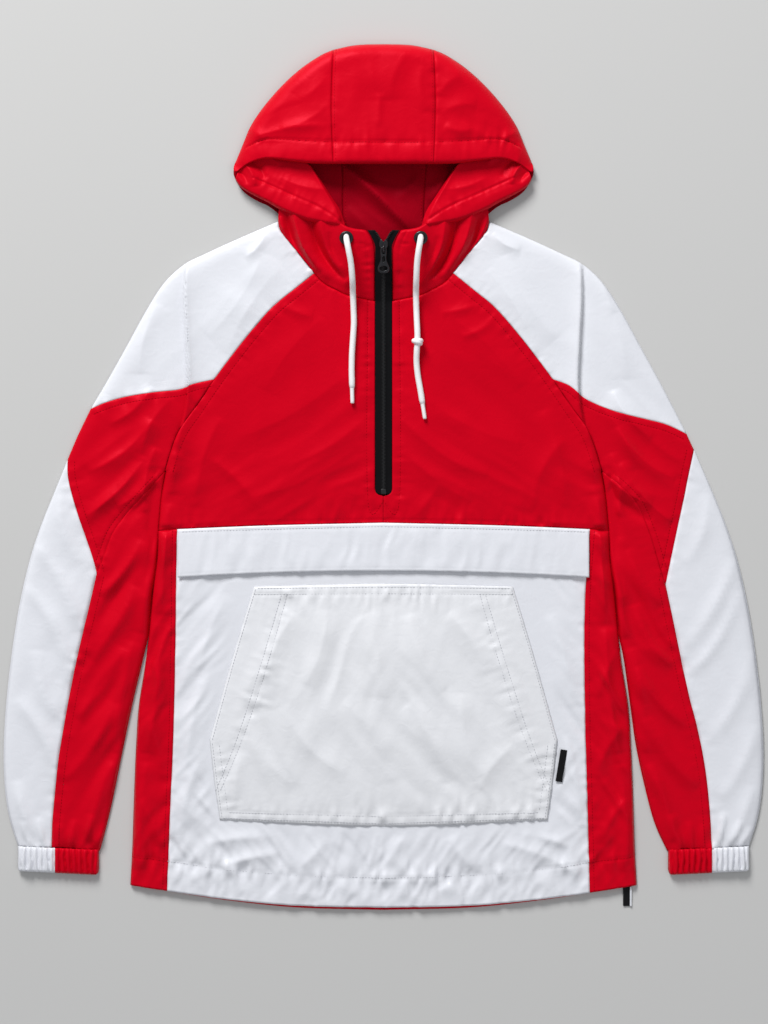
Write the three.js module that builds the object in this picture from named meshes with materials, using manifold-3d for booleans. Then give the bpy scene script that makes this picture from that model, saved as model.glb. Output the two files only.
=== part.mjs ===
// Anorak pullover with a hood, half zip, storm flap and kangaroo pocket, laid flat on its back.
// Millimetres: +X to the viewer's right, +Y towards the hood, +Z up from the surface it lies on.
import * as THREE from "three";
import { mergeVertices } from "three/addons/utils/BufferGeometryUtils.js";
import Module from "manifold-3d";

const wasm = await Module();
wasm.setup();

// ---- Driving dimensions ----
const CLOTH = 1.4; // wall of each upper panel
const BACK_CLOTH = 1.2; // wall of each panel that lies on the surface
const SEAM_INSET = 0.2; // how far each panel stops short of its seam
const LAYER_GAP = 0.35; // between a panel and what is sewn on top of it
const HOLLOW = 3; // between the two layers of a flattened tube
const RIM_WIDTH = 9; // width over which an upper panel turns down to the edge
const SEAM_STEP = 33; // longest straight stretch along a seam

const LEVEL = BACK_CLOTH + HOLLOW + CLOTH / 2; // middle of an upper panel's wall
const RIM_LEVEL = BACK_CLOTH + LAYER_GAP + CLOTH / 2; // the same, at a folded edge
const ON_PANEL = CLOTH + LAYER_GAP; // from a panel's middle to that of what lies on it

const ZIP_HALF = 9.2; // half the width of the closed zip
const ZIP_SLOT_HALF = 9.6;
const ZIP_TOP = 263;
const ZIP_END = -21; // the slit in the chest ends here
const CHAIN_HALF = 2.6;
const COLLAR_RISE = 14.5; // height that the collar stands above the neck seam
const COLLAR_TOP_Y = 264;
const NECK_Y = 188; // neck seam at the zip

const BRIM_LEVEL = 27; // height of the hood's front edge at its middle
const BRIM_DROP = 17.5; // how much lower that edge is at its corners
const BRIM_Y = 334;
const HOOD_TOP_Y = 467;
const HOOD_HALF = 161;
const CROWN_FALL = 0.35; // share of its height that the crown loses towards the top
const CROWN_RIM = 12;

const CUFF_LENGTH = 26;
const CUFF_LEVEL = 8.5;
const CUFF_GATHERS = 9; // ridges across the half of a cuff
const GATHER_DEPTH = 1;

const CORD_DIAMETER = 6.5;
const CORD_STEPS = 36;
const EYELET_INNER = 4.7;
const EYELET_OUTER = 7.4;
const EYELET_WALL = 1.3;

const colours = {
  red: [0xd8091c, 0.5, 0],
  white: [0xeeeef2, 0.45, 0],
  black: [0x17171a, 0.6, 0],
  metal: [0x1c1c20, 0.35, 0.6],
  cord: [0xf2f2f2, 0.8, 0],
};
const materials = Object.fromEntries(
  Object.entries(colours).map(([name, [color, roughness, metalness]]) => [
    name,
    new THREE.MeshStandardMaterial({ color, roughness, metalness }),
  ]),
);

// ---- Seams and edges ----
// Each row is x, y on the right side. Two more columns give the left side where it lies otherwise;
// x is measured outward from the middle on both.
const edges = {
  neckFront: [[0, 187], [36, 194], [50, 200], [65, 208], [75, 219]],
  neckSide: [[75, 219], [87, 234], [99, 249], [111, 264], [114, 275]],
  middle: [[0, 187], [0, -51]],
  raglanUpper: [[75, 219], [97, 201], [121, 181], [148, 150], [172, 119], [183, 104]],
  raglanLower: [[183, 104], [204, 73], [223, 44], [236, 5]],
  shoulder: [
    [114, 275], [158, 256], [195, 239], [215, 229], [237, 209], [256, 180], [278, 140],
    [304, 92, 297, 106], [328, 45, 317, 72],
  ],
  upperEdge: [[328, 45, 317, 72], [333, 34, 331, 43], [336, 28, 342, 17]],
  outerEdge: [
    [336, 28, 342, 17], [357, -20], [371, -55], [383, -92], [394, -140], [402, -190],
    [408, -242], [411, -292], [410, -335], [405, -370], [395, -402],
  ],
  block: [
    [183, 104], [201, 97, 205, 99], [220, 82, 221, 93], [251, 69, 248, 90],
    [283, 61, 279, 85], [306, 55, 300, 79], [328, 45, 317, 72],
  ],
  elbowUpper: [
    [336, 28, 342, 17], [331, 6, 341, -4], [325, -24, 333, -34], [318, -56, 323, -64],
    [311, -89, 314, -90], [305, -118, 310, -106],
  ],
  elbowLower: [
    [305, -118, 310, -106], [314, -161, 319, -145], [321, -195, 329, -187],
    [330, -237, 340, -240], [340, -276, 350, -298], [348, -318, 355, -340],
    [353, -365, 358, -374], [355, -404, 359, -403],
  ],
  underarm: [
    [236, 5], [259, -14, 262, -24], [276, -34, 277, -40], [288, -62, 293, -62],
    [296, -88, 303, -88], [305, -118, 310, -106],
  ],
  sideUpper: [[236, 5], [241, -25], [244, -60]],
  sideMiddle: [[244, -60], [245, -90], [250, -128], [254, -172]],
  sideLower: [[254, -172], [258, -205], [265, -250], [268, -296], [270, -345], [272, -405], [274, -443]],
  innerEdge: [
    [254, -172], [260, -200, 260, -198], [267, -250, 271, -244], [273, -292, 282, -296],
    [282, -334, 293, -350], [293, -375, 302, -388], [307, -406],
  ],
  cuffInner: [[307, -406], [355, -404, 359, -403]],
  cuffOuter: [[355, -404, 359, -403], [395, -402]],
  chestInner: [[0, -51], [126, -54], [223, -58]],
  chestOuter: [[223, -58], [244, -60]],
  stripe: [
    [223, -58], [219, -113, 224, -113], [217, -178, 225, -188], [218, -264, 227, -280],
    [220, -340, 230, -350], [223, -451, 234, -449],
  ],
  hemMiddle: [[0, -467], [93, -465], [170, -458], [223, -451, 234, -449]],
  hemSide: [[223, -451, 234, -449], [274, -443]],
  hemBack: [[0, -470], [93, -467.5], [170, -459.5], [232, -450], [274, -443]],
  collarZip: [[0, 187], [0, COLLAR_TOP_Y]],
  collarTop: [[0, COLLAR_TOP_Y], [17, 264], [40, 268], [62, 284], [88, 294], [113, 289]],
  collarEnd: [[114, 275], [113, 289]],
  brimSide: [[54, 334], [78, 335], [102, 338], [124, 341], [138, 339], [150, 334], [158, 328]],
  brimMiddle: [[0, BRIM_Y], [54, 334]],
  crownSeam: [[54, 334], [56, 400], [54, 461]],
  crownMiddle: [[0, BRIM_Y], [0, HOOD_TOP_Y]],
  crownTop: [[0, HOOD_TOP_Y], [30, 466], [54, 461]],
  crownEdge: [[54, 461], [68, 455], [89, 441], [110, 422], [130, 399], [144, 378], [152, 359], [161, 337]],
  crownCorner: [[158, 328], [162, 329], [161, 337]],
  lipEdge: [
    [40, 266], [73, 272], [88, 276], [112, 287], [124, 294], [145, 305], [156, 313], [160, 320],
  ],
  lipRidge: [[40, 266], [46, 285], [58, 304], [76, 332]],
  lipHidden: [[76, 332], [100, 346], [128, 350], [148, 342]],
  lipCorner: [[160, 320], [156, 330], [148, 342]],
  hoodBackSeam: [[43, 213], [44, 290], [46, 340], [54, 461]],
  hoodBackMiddle: [[0, 210], [0, HOOD_TOP_Y]],
  hoodNeckMiddle: [[0, 210], [43, 213]],
  hoodNeckSide: [[43, 213], [75, 219]],
  hoodBackEdge: [[161, 337], [162, 325], [152, 308], [136, 297], [114, 287], [114, 275]],
};

// Pocket, flap and their corners, right side; the left side mirrors them.
const POCKET_TOP_Y = -117;
const pocketSide = [[140, -120], [164, -200], [188, -286]];
const pocketBottom = [[188, -286], [183, -330], [177, -372]];
const POCKET_BOTTOM_Y = -379;
const POCKET_PUFF = 3;
const FLAP_LIFT = 2.2;
const flap = { half: 222, topMiddle: -52, topSide: -58.6, bottomMiddle: -103, bottomSide: -110 };

// Creases and puffs of the upper layer, one row each: a soft ridge from x0, y0 to x1, y1.
const folds = [
  { x0: -211, y0: 226, x1: -214, y1: 105, width: 13, height: 3.4 },
  { x0: 209, y0: 222, x1: 213, y1: 100, width: 13, height: 3.4 },
  { x0: -300, y0: 40, x1: -255, y1: -60, width: 16, height: 2.2 },
  { x0: 285, y0: 35, x1: 300, y1: -60, width: 16, height: 2.2 },
  { x0: -285, y0: -90, x1: -272, y1: -190, width: 15, height: 2.6 },
  { x0: 285, y0: -100, x1: 300, y1: -210, width: 15, height: 2.6 },
  { x0: -375, y0: -150, x1: -390, y1: -300, width: 16, height: 2.4 },
  { x0: 372, y0: -140, x1: 392, y1: -290, width: 16, height: 2.4 },
  { x0: -330, y0: -260, x1: -322, y1: -380, width: 14, height: 2.2 },
  { x0: 318, y0: -270, x1: 330, y1: -385, width: 14, height: 2.2 },
  { x0: -160, y0: 60, x1: -196, y1: -20, width: 20, height: 1.8 },
  { x0: 158, y0: 70, x1: 192, y1: -15, width: 20, height: 1.8 },
  { x0: -205, y0: -425, x1: -120, y1: -436, width: 14, height: 1.6 },
  { x0: 200, y0: -422, x1: 96, y1: -437, width: 14, height: 1.6 },
];

// ---- Curves and heights ----
// The points along one edge: equal steps on a smooth curve, mirrored on the left side.
function edge(name, side) {
  const rows = edges[name].map(([x, y, leftX = x, leftY = y]) =>
    side > 0 ? new THREE.Vector2(x, y) : new THREE.Vector2(-leftX, leftY),
  );
  const curve = rows.length > 2 ? new THREE.SplineCurve(rows) : new THREE.LineCurve(...rows);
  return curve.getSpacedPoints(Math.max(1, Math.ceil(curve.getLength() / SEAM_STEP)));
}

// Several edges in a row, as one list of points.
function run(side, ...names) {
  return names.flatMap((name, i) => edge(name, side).slice(i ? 1 : 0));
}

function distanceToSegment(p, a, b) {
  const span = new THREE.Vector2().subVectors(b, a);
  const from = new THREE.Vector2().subVectors(p, a);
  const t = THREE.MathUtils.clamp(from.dot(span) / span.lengthSq(), 0, 1);
  return from.addScaledVector(span, -t).length();
}

function distanceToPath(p, path) {
  let best = Infinity;
  for (let i = 1; i < path.length; i++) {
    best = Math.min(best, distanceToSegment(p, path[i - 1], path[i]));
  }
  return best;
}

function foldHeight(x, y) {
  const p = new THREE.Vector2(x, y);
  let height = 0;
  for (const f of folds) {
    const d = distanceToSegment(p, new THREE.Vector2(f.x0, f.y0), new THREE.Vector2(f.x1, f.y1));
    height += f.height * Math.exp(-((d / f.width) ** 2));
  }
  return height;
}

// A panel's height falls round a quarter turn to the edge over the last `width`.
function roundedRim(height, distance, width = RIM_WIDTH) {
  const near = 1 - THREE.MathUtils.clamp((distance - 2 * SEAM_INSET) / width, 0, 1);
  return RIM_LEVEL + (height - RIM_LEVEL) * Math.sqrt(1 - near * near);
}

function clothHeight(rim) {
  return (x, y) => roundedRim(LEVEL + foldHeight(x, y), distanceToPath(new THREE.Vector2(x, y), rim));
}

// Rise of the standing collar at its top edge, by distance from the zip.
const collarRise = [
  { x: 0, rise: COLLAR_RISE },
  { x: 40, rise: 15 },
  { x: 62, rise: 11 },
  { x: 88, rise: 8 },
  { x: 114, rise: 3 },
];

function collarHeight(x, share) {
  const i = Math.max(1, collarRise.findIndex((row) => row.x >= Math.min(Math.abs(x), 114)));
  const [a, b] = [collarRise[i - 1], collarRise[i]];
  const rise = THREE.MathUtils.mapLinear(Math.abs(x), a.x, b.x, a.rise, b.rise);
  return LEVEL + rise * Math.sin((share * Math.PI) / 2);
}

// Height of the closed zip, which lies on the chest and climbs with the collar.
function zipHeight(y) {
  return y < NECK_Y ? LEVEL : collarHeight(0, (y - NECK_Y) / (COLLAR_TOP_Y - NECK_Y));
}

function crownHeight(side) {
  const rim = [...run(side, "crownTop", "crownEdge")];
  return (x, y) => {
    const brim = BRIM_LEVEL - BRIM_DROP * (Math.abs(x) / HOOD_HALF) ** 2.5;
    const fall = CROWN_FALL * ((y - BRIM_Y) / (HOOD_TOP_Y - BRIM_Y));
    return roundedRim(brim * (1 - fall), distanceToPath(new THREE.Vector2(x, y), rim), CROWN_RIM);
  };
}

const LIP = { ridgeFoot: 20.9, corner: 8.4, ridgeTop: 15.5, hidden: 8.4 };
function lipHeight(x, y, u, v) {
  const front = THREE.MathUtils.lerp(LIP.ridgeFoot, LIP.corner, u);
  const behind = THREE.MathUtils.lerp(LIP.ridgeTop, LIP.hidden, u);
  return THREE.MathUtils.lerp(front, behind, v);
}

// ---- Panels ----
// The same line with `count` stretches: each of its own points stays, and the rest lie between them.
function resample(points, count) {
  const own = points.length - 1;
  const places = points.map((_, i) => Math.round((i * count) / own));
  const spread = [];
  for (let i = 0; i < own; i++) {
    const steps = places[i + 1] - places[i];
    for (let k = 0; k < steps; k++) spread.push(points[i].clone().lerp(points[i + 1], k / steps));
  }
  return [...spread, points.at(-1).clone()];
}

function pointAt(points, share) {
  const place = share * (points.length - 1);
  const i = Math.min(Math.floor(place), points.length - 2);
  return points[i].clone().lerp(points[i + 1], place - i);
}

// Even stations, and more of them close to an edge where the cloth turns down.
function stations(count, width, atStart, atEnd) {
  const near = [0.15, 0.8].map((k) => (k * RIM_WIDTH) / width).filter((s) => s < 0.4);
  const extra = [...(atStart ? near : []), ...(atEnd ? near.map((s) => 1 - s) : [])];
  const even = [...Array(count + 1)].map((_, i) => i / count);
  return [...new Set([...even, ...extra])].sort((a, b) => a - b);
}

// A patch of points between four edges: `bottom` and `top` run from `left` to `right`.
// Every side stops SEAM_INSET short of its seam, apart from those named in `open`.
// `grain` is the longest cell from left to right and from bottom to top.
function patch({ bottom, right, top, left, rims = "", grain = [Infinity, Infinity], open = "" }) {
  const wide = bottom[0].distanceTo(bottom.at(-1)) / 2 + top[0].distanceTo(top.at(-1)) / 2;
  const tall = left[0].distanceTo(left.at(-1)) / 2 + right[0].distanceTo(right.at(-1)) / 2;
  const across = Math.max(bottom.length - 1, top.length - 1, Math.ceil(wide / grain[0]));
  const along = Math.max(left.length - 1, right.length - 1, Math.ceil(tall / grain[1]));
  const [low, high] = [resample(bottom, across), resample(top, across)];
  const [start, end] = [resample(left, along), resample(right, along)];
  const us = stations(across, wide, rims.includes("L"), rims.includes("R"));
  const vs = stations(along, tall, rims.includes("B"), rims.includes("T"));
  const grid = vs.map((v) =>
    us.map((u) =>
      new THREE.Vector2()
        .addScaledVector(pointAt(low, u), 1 - v)
        .addScaledVector(pointAt(high, u), v)
        .addScaledVector(pointAt(start, v), 1 - u)
        .addScaledVector(pointAt(end, v), u)
        .addScaledVector(low[0], -(1 - u) * (1 - v))
        .addScaledVector(low.at(-1), -u * (1 - v))
        .addScaledVector(high[0], -(1 - u) * v)
        .addScaledVector(high.at(-1), -u * v),
    ),
  );
  const [rows, cols] = [vs.length, us.length];
  const inward = (p, inner) => {
    const step = new THREE.Vector2().subVectors(inner, p);
    return step.setLength(Math.min(SEAM_INSET, step.length() / 2));
  };
  const points = grid.map((line, r) =>
    line.map((p, c) => {
      const q = p.clone();
      if (r === 0 && !open.includes("B")) q.add(inward(p, grid[1][c]));
      if (r === rows - 1 && !open.includes("T")) q.add(inward(p, grid[rows - 2][c]));
      if (c === 0 && !open.includes("L")) q.add(inward(p, line[1]));
      if (c === cols - 1 && !open.includes("R")) q.add(inward(p, line[cols - 2]));
      return q;
    }),
  );
  return { points, us, vs };
}

// An upper panel: a wall of cloth whose middle lies at height(x, y, u, v).
function wall({ height, cloth = CLOTH, ...shape }) {
  const { points, us, vs } = patch(shape);
  const levels = points.map((line, r) => line.map((p, c) => height(p.x, p.y, us[c], vs[r])));
  return skin(points, levels, cloth);
}

// A panel that lies flat on the surface.
function slab(shape) {
  const { points } = patch({ ...shape, rims: "", grain: undefined });
  const column = (c) => points.map((line) => line.at(c));
  const loop = [
    ...points[0],
    ...column(-1).slice(1),
    ...points.at(-1).slice(0, -1).reverse(),
    ...column(0).slice(1, -1).reverse(),
  ];
  return toSolid(new THREE.ExtrudeGeometry(new THREE.Shape(loop), { depth: BACK_CLOTH, bevelEnabled: false }));
}

// Closes a grid of points and heights into a wall, with faces pointing out.
function skin(grid, levels, cloth) {
  const [rows, cols] = [grid.length, grid[0].length];
  const positions = [];
  for (const half of [cloth / 2, -cloth / 2]) {
    grid.forEach((line, r) => line.forEach((p, c) => positions.push(p.x, p.y, levels[r][c] + half)));
  }
  const under = rows * cols;
  const at = (r, c) => r * cols + c;
  const index = [];
  const quad = (a, b, c, d) => index.push(a, b, c, a, c, d);
  for (let r = 1; r < rows; r++) {
    for (let c = 1; c < cols; c++) {
      const [a, b, d, e] = [at(r - 1, c - 1), at(r - 1, c), at(r, c), at(r, c - 1)];
      quad(a, b, d, e);
      quad(under + e, under + d, under + b, under + a);
    }
  }
  const side = (a, b) => quad(a, under + a, under + b, b);
  for (let c = 1; c < cols; c++) {
    side(at(0, c - 1), at(0, c));
    side(at(rows - 1, c), at(rows - 1, c - 1));
  }
  for (let r = 1; r < rows; r++) {
    side(at(r - 1, cols - 1), at(r, cols - 1));
    side(at(r, 0), at(r - 1, 0));
  }
  const geometry = new THREE.BufferGeometry();
  geometry.setAttribute("position", new THREE.Float32BufferAttribute(positions, 3));
  geometry.setIndex(index);
  const solid = toSolid(geometry);
  return solid.volume() < 0 ? skinFlipped(geometry) : solid;
}

// A mirrored grid winds the other way round, so its faces are turned.
function skinFlipped(geometry) {
  const index = geometry.index.array;
  for (let i = 0; i < index.length; i += 3) [index[i + 1], index[i + 2]] = [index[i + 2], index[i + 1]];
  return toSolid(geometry);
}

// ---- Solids ----
function toSolid(source) {
  const bare = source.clone();
  bare.deleteAttribute("normal");
  bare.deleteAttribute("uv");
  const merged = mergeVertices(bare, 1e-3);
  return new wasm.Manifold(
    new wasm.Mesh({
      numProp: 3,
      vertProperties: new Float32Array(merged.attributes.position.array),
      triVerts: new Uint32Array(merged.index.array),
    }),
  );
}

function toGeometry(solid) {
  const mesh = solid.getMesh();
  const geometry = new THREE.BufferGeometry();
  geometry.setAttribute("position", new THREE.Float32BufferAttribute(mesh.vertProperties, 3));
  geometry.setIndex(new THREE.Uint32BufferAttribute(mesh.triVerts, 1));
  geometry.computeVertexNormals();
  return geometry;
}

function box(x0, y0, z0, x1, y1, z1) {
  const geometry = new THREE.BoxGeometry(x1 - x0, y1 - y0, z1 - z0);
  geometry.translate((x0 + x1) / 2, (y0 + y1) / 2, (z0 + z1) / 2);
  return toSolid(geometry);
}

// A ring turned about Z from a profile of [radius, height] rows, tilted about X and moved.
function ring(profile, centre, tilt, segments = 20) {
  const points = [...profile, profile[0]].map(([r, h]) => new THREE.Vector2(r, h));
  const geometry = new THREE.LatheGeometry(points, segments);
  geometry.rotateX(Math.PI / 2 + tilt);
  geometry.translate(...centre);
  return toSolid(geometry);
}

function tube(route, diameter, sides, steps) {
  const path = new THREE.CatmullRomCurve3(route.map((p) => new THREE.Vector3(...p)), false, "centripetal");
  const section = new THREE.Shape(
    [...Array(sides)].map((_, i) => {
      const turn = (2 * Math.PI * (i + 0.5)) / sides;
      return new THREE.Vector2((Math.cos(turn) * diameter) / 2, (Math.sin(turn) * diameter) / 2);
    }),
  );
  return toSolid(new THREE.ExtrudeGeometry(section, { extrudePath: path, steps }));
}

const anorak = new THREE.Group();
function add(name, material, solid) {
  const mesh = new THREE.Mesh(toGeometry(solid), materials[material]);
  mesh.name = name;
  anorak.add(mesh);
}

const sides = [
  { name: "left", sign: -1 },
  { name: "right", sign: 1 },
];
const mirrored = (rows, sign) => rows.map(([x, y]) => new THREE.Vector2(sign * x, y));

// ---- Body ----
function bodyRim(sign) {
  return run(sign, "sideUpper", "sideMiddle", "sideLower");
}

function buildChest() {
  const halves = sides.map(({ sign }) =>
    wall({
      left: edge("middle", sign),
      right: run(sign, "raglanUpper", "raglanLower", "sideUpper"),
      bottom: edge("neckFront", sign),
      top: run(sign, "chestInner", "chestOuter"),
      height: clothHeight(bodyRim(sign)),
      rims: "R",
      open: "L",
    }),
  );
  const slot = box(-ZIP_SLOT_HALF, ZIP_END, 0, ZIP_SLOT_HALF, NECK_Y + 40, 30);
  add("front_chest", "red", halves[0].add(halves[1]).subtract(slot));
}

function buildLowerFront() {
  const line = (name) => [...edge(name, -1).reverse(), ...edge(name, 1).slice(1)];
  add("front_lower", "white", wall({
    bottom: line("hemMiddle"),
    top: line("chestInner"),
    left: edge("stripe", -1).reverse(),
    right: edge("stripe", 1).reverse(),
    height: (x, y) => LEVEL + foldHeight(x, y),
    grain: [46, 46],
  }));
}

function buildSides() {
  for (const { name, sign } of sides) {
    add(`side_front_${name}`, "red", wall({
      bottom: edge("hemSide", sign),
      top: edge("chestOuter", sign),
      left: edge("stripe", sign).reverse(),
      right: run(sign, "sideMiddle", "sideLower").reverse(),
      height: clothHeight(bodyRim(sign)),
      rims: "R",
    }));
  }
}

function buildBack() {
  const halves = sides.map(({ sign }) =>
    slab({
      bottom: edge("hemBack", sign),
      top: run(sign, "hoodNeckMiddle", "hoodNeckSide"),
      left: mirrored([[0, -470], [0, 210]], sign),
      right: run(sign, "raglanUpper", "raglanLower", "sideUpper", "sideMiddle", "sideLower").reverse(),
      open: "L",
    }),
  );
  add("back_body", "red", halves[0].add(halves[1]));
}

function buildFlap() {
  const bow = (middle, side) =>
    [-1, -0.6, -0.3, 0, 0.3, 0.6, 1].map(
      (k) => new THREE.Vector2(k * flap.half, THREE.MathUtils.lerp(middle, side, k * k)),
    );
  const [top, bottom] = [bow(flap.topMiddle, flap.topSide), bow(flap.bottomMiddle, flap.bottomSide)];
  add("storm_flap", "white", wall({
    bottom,
    top,
    left: [bottom[0], top[0]],
    right: [bottom.at(-1), top.at(-1)],
    height: (x, y, u, v) => LEVEL + ON_PANEL + FLAP_LIFT * (1 - v) ** 2,
    grain: [34, 18],
  }));
}

function pocketHeight(x, y, u, v) {
  return LEVEL + ON_PANEL + POCKET_PUFF * Math.sin(Math.PI * u) ** 0.7 * Math.sin(Math.PI * v) ** 0.7;
}

function buildPocket() {
  const side = (sign) => mirrored([...pocketSide, ...pocketBottom.slice(1)], sign).reverse();
  const [left, right] = [side(-1), side(1)];
  const across = (ends, y) => [ends[0], new THREE.Vector2(0, y), ends[1]];
  add("pocket", "white", wall({
    bottom: across([left[0], right[0]], POCKET_BOTTOM_Y),
    top: across([left.at(-1), right.at(-1)], POCKET_TOP_Y),
    left,
    right,
    height: pocketHeight,
    grain: [38, 34],
  }));
  const label = { x0: 188.6, x1: 195.6, y0: -331, y1: -296, tilt: 0.16 };
  const plate = new THREE.BoxGeometry(label.x1 - label.x0, label.y1 - label.y0, 1);
  plate.rotateZ(-label.tilt);
  plate.translate((label.x0 + label.x1) / 2, (label.y0 + label.y1) / 2, LEVEL + ON_PANEL);
  add("pocket_label", "black", toSolid(plate));
  const tag = { x0: 259.5, x1: 268.5, y0: -466, y1: -445.2 };
  add("hem_tape", "white", box(tag.x0, tag.y0, 0, tag.x1, tag.y1, 1));
}

// ---- Sleeves ----
function buildSleeve({ name, sign }) {
  const rim = [
    ...run(sign, "innerEdge").reverse(),
    ...run(sign, "sideUpper", "sideMiddle").reverse().slice(1),
  ];
  const outside = run(sign, "shoulder", "upperEdge", "outerEdge");
  const inner = clothHeight(rim);
  const outer = clothHeight(outside);
  const height = (x, y) => Math.min(inner(x, y), outer(x, y));
  const pieces = {
    shoulder: ["white", {
      bottom: edge("raglanUpper", sign),
      top: edge("shoulder", sign),
      left: edge("neckSide", sign),
      right: edge("block", sign),
      rims: "T",
    }],
    upper: ["red", {
      bottom: run(sign, "raglanLower", "underarm"),
      top: run(sign, "upperEdge", "elbowUpper"),
      left: edge("block", sign),
      right: null,
      rims: "",
    }],
    outer: ["white", {
      bottom: run(sign, "elbowUpper", "elbowLower"),
      top: edge("outerEdge", sign),
      left: null,
      right: edge("cuffOuter", sign),
      rims: "T",
    }],
    inner: ["red", {
      bottom: run(sign, "sideUpper", "sideMiddle", "innerEdge"),
      top: run(sign, "underarm", "elbowLower"),
      left: null,
      right: edge("cuffInner", sign),
      rims: "B",
    }],
  };
  for (const [piece, [material, shape]] of Object.entries(pieces)) {
    const closed = closePoints(shape);
    add(`sleeve_${piece}_front_${name}`, material, wall({ ...closed, height, grain: [60, 60] }));
    add(`sleeve_${piece}_back_${name}`, material, slab(closed));
  }
}

// A panel that runs to a point gets a short blunt end there, so that its wall stays whole.
const BLUNT = 1.2;
function closePoints(shape) {
  const { bottom, top } = shape;
  const blunt = (points, first) => {
    const [end, next] = first ? [0, 1] : [points.length - 1, points.length - 2];
    const kept = points.map((p) => p.clone());
    const step = new THREE.Vector2().subVectors(points[next], points[end]).setLength(BLUNT);
    kept[end].add(step);
    return kept;
  };
  const closed = { ...shape };
  if (!shape.left) {
    closed.bottom = blunt(bottom, true);
    closed.top = blunt(top, true);
    closed.left = [closed.bottom[0], closed.top[0]];
  }
  if (!shape.right) {
    closed.bottom = blunt(closed.bottom, false);
    closed.top = blunt(closed.top, false);
    closed.right = [closed.bottom.at(-1), closed.top.at(-1)];
  }
  return closed;
}

// Gathered cuff: upper half ridged, lower half flat on the surface.
function buildCuff({ name, sign }) {
  const start = { inner: [308.5, -406.4], split: [355, -404.4], outer: [395.5, -402.4] };
  const parts = [
    { piece: "inner", material: "red", from: start.inner, to: start.split, rims: "L" },
    { piece: "outer", material: "white", from: start.split, to: start.outer, rims: "R" },
  ];
  const [low, high] = [start.inner[0], start.outer[0]];
  const height = (x) => {
    const out = Math.abs(x);
    const gather = GATHER_DEPTH * Math.cos((2 * Math.PI * CUFF_GATHERS * (out - low)) / (high - low));
    return roundedRim(CUFF_LEVEL + gather, Math.min(out - low, high - out) + 0.2, RIM_WIDTH * 1.2);
  };
  for (const { piece, material, from, to } of parts) {
    const edges4 = {
      bottom: mirrored([[from[0], from[1] - CUFF_LENGTH], [to[0], to[1] - CUFF_LENGTH]], sign),
      top: mirrored([from, to], sign),
      left: mirrored([[from[0], from[1] - CUFF_LENGTH], from], sign),
      right: mirrored([[to[0], to[1] - CUFF_LENGTH], to], sign),
    };
    add(`cuff_${piece}_front_${name}`, material, wall({ ...edges4, height, grain: [4.8, 14] }));
    add(`cuff_${piece}_back_${name}`, material, slab(edges4));
  }
}

// ---- Hood and collar ----
function buildHood() {
  for (const { name, sign } of sides) {
    add(`hood_crown_${name}`, "red", wall({
      bottom: edge("brimSide", sign),
      top: edge("crownEdge", sign),
      left: edge("crownSeam", sign),
      right: edge("crownCorner", sign),
      height: crownHeight(sign),
      rims: "T",
    }));
    add(`hood_lip_${name}`, "red", wall({
      bottom: edge("lipEdge", sign),
      top: edge("lipHidden", sign),
      left: edge("lipRidge", sign),
      right: edge("lipCorner", sign),
      height: lipHeight,
    }));
    add(`hood_back_${name}`, "red", slab({
      bottom: run(sign, "hoodNeckSide", "neckSide"),
      top: run(sign, "crownEdge"),
      left: edge("hoodBackSeam", sign),
      right: edge("hoodBackEdge", sign).reverse(),
    }));
    buildCollar(name, sign);
  }
  const crown = (sign) =>
    wall({
      bottom: edge("brimMiddle", sign),
      top: edge("crownTop", sign),
      left: edge("crownMiddle", sign),
      right: edge("crownSeam", sign),
      height: crownHeight(sign),
      rims: "T",
      open: "L",
    });
  add("hood_crown_middle", "red", crown(-1).add(crown(1)));
  const behind = (sign) =>
    slab({
      bottom: edge("hoodNeckMiddle", sign),
      top: edge("crownTop", sign),
      left: edge("hoodBackMiddle", sign),
      right: edge("hoodBackSeam", sign),
      open: "L",
    });
  add("hood_back_middle", "red", behind(-1).add(behind(1)));
}

const EYELET = { x: 40, y: 255 };
const EYELET_SHARE = (EYELET.y - NECK_Y) / (COLLAR_TOP_Y - NECK_Y) - 0.06;

function buildCollar(name, sign) {
  const collar = wall({
    bottom: run(sign, "neckFront", "neckSide"),
    top: edge("collarTop", sign),
    left: edge("collarZip", sign),
    right: edge("collarEnd", sign),
    height: (x, y, u, v) => collarHeight(x, v),
    grain: [30, 24],
    open: "L",
  });
  const slot = box(-ZIP_SLOT_HALF, NECK_Y - 20, 0, ZIP_SLOT_HALF, COLLAR_TOP_Y + 5, 40);
  const hole = new THREE.CylinderGeometry(EYELET_INNER + 0.4, EYELET_INNER + 0.4, 30, 16);
  hole.rotateX(Math.PI / 2);
  hole.translate(sign * EYELET.x, EYELET.y, collarHeight(EYELET.x, EYELET_SHARE));
  add(`collar_${name}`, "red", collar.subtract(slot).subtract(toSolid(hole)));
  const z = collarHeight(EYELET.x, EYELET_SHARE) + CLOTH / 2 + LAYER_GAP + EYELET_WALL / 2 + 0.5;
  const half = EYELET_WALL / 2;
  const profile = [[EYELET_INNER, -half], [EYELET_OUTER, -half], [EYELET_OUTER - 0.6, half], [EYELET_INNER + 0.5, half]];
  add(`eyelet_${name}`, "metal", ring(profile, [sign * EYELET.x, EYELET.y, z], 0.06));
}

// ---- Zip ----
function zipStrip(x0, x1, y0, y1, cloth, lift = 0) {
  const stepsUp = [y0, NECK_Y, 200, 214, 228, 242, y1];
  const line = (x) => stepsUp.map((y) => new THREE.Vector2(x, y));
  return wall({
    bottom: [new THREE.Vector2(x0, y0), new THREE.Vector2(x1, y0)],
    top: [new THREE.Vector2(x0, y1), new THREE.Vector2(x1, y1)],
    left: line(x0),
    right: line(x1),
    height: (x, y) => zipHeight(y) + lift,
    cloth,
    open: "LRBT",
  });
}

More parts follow.
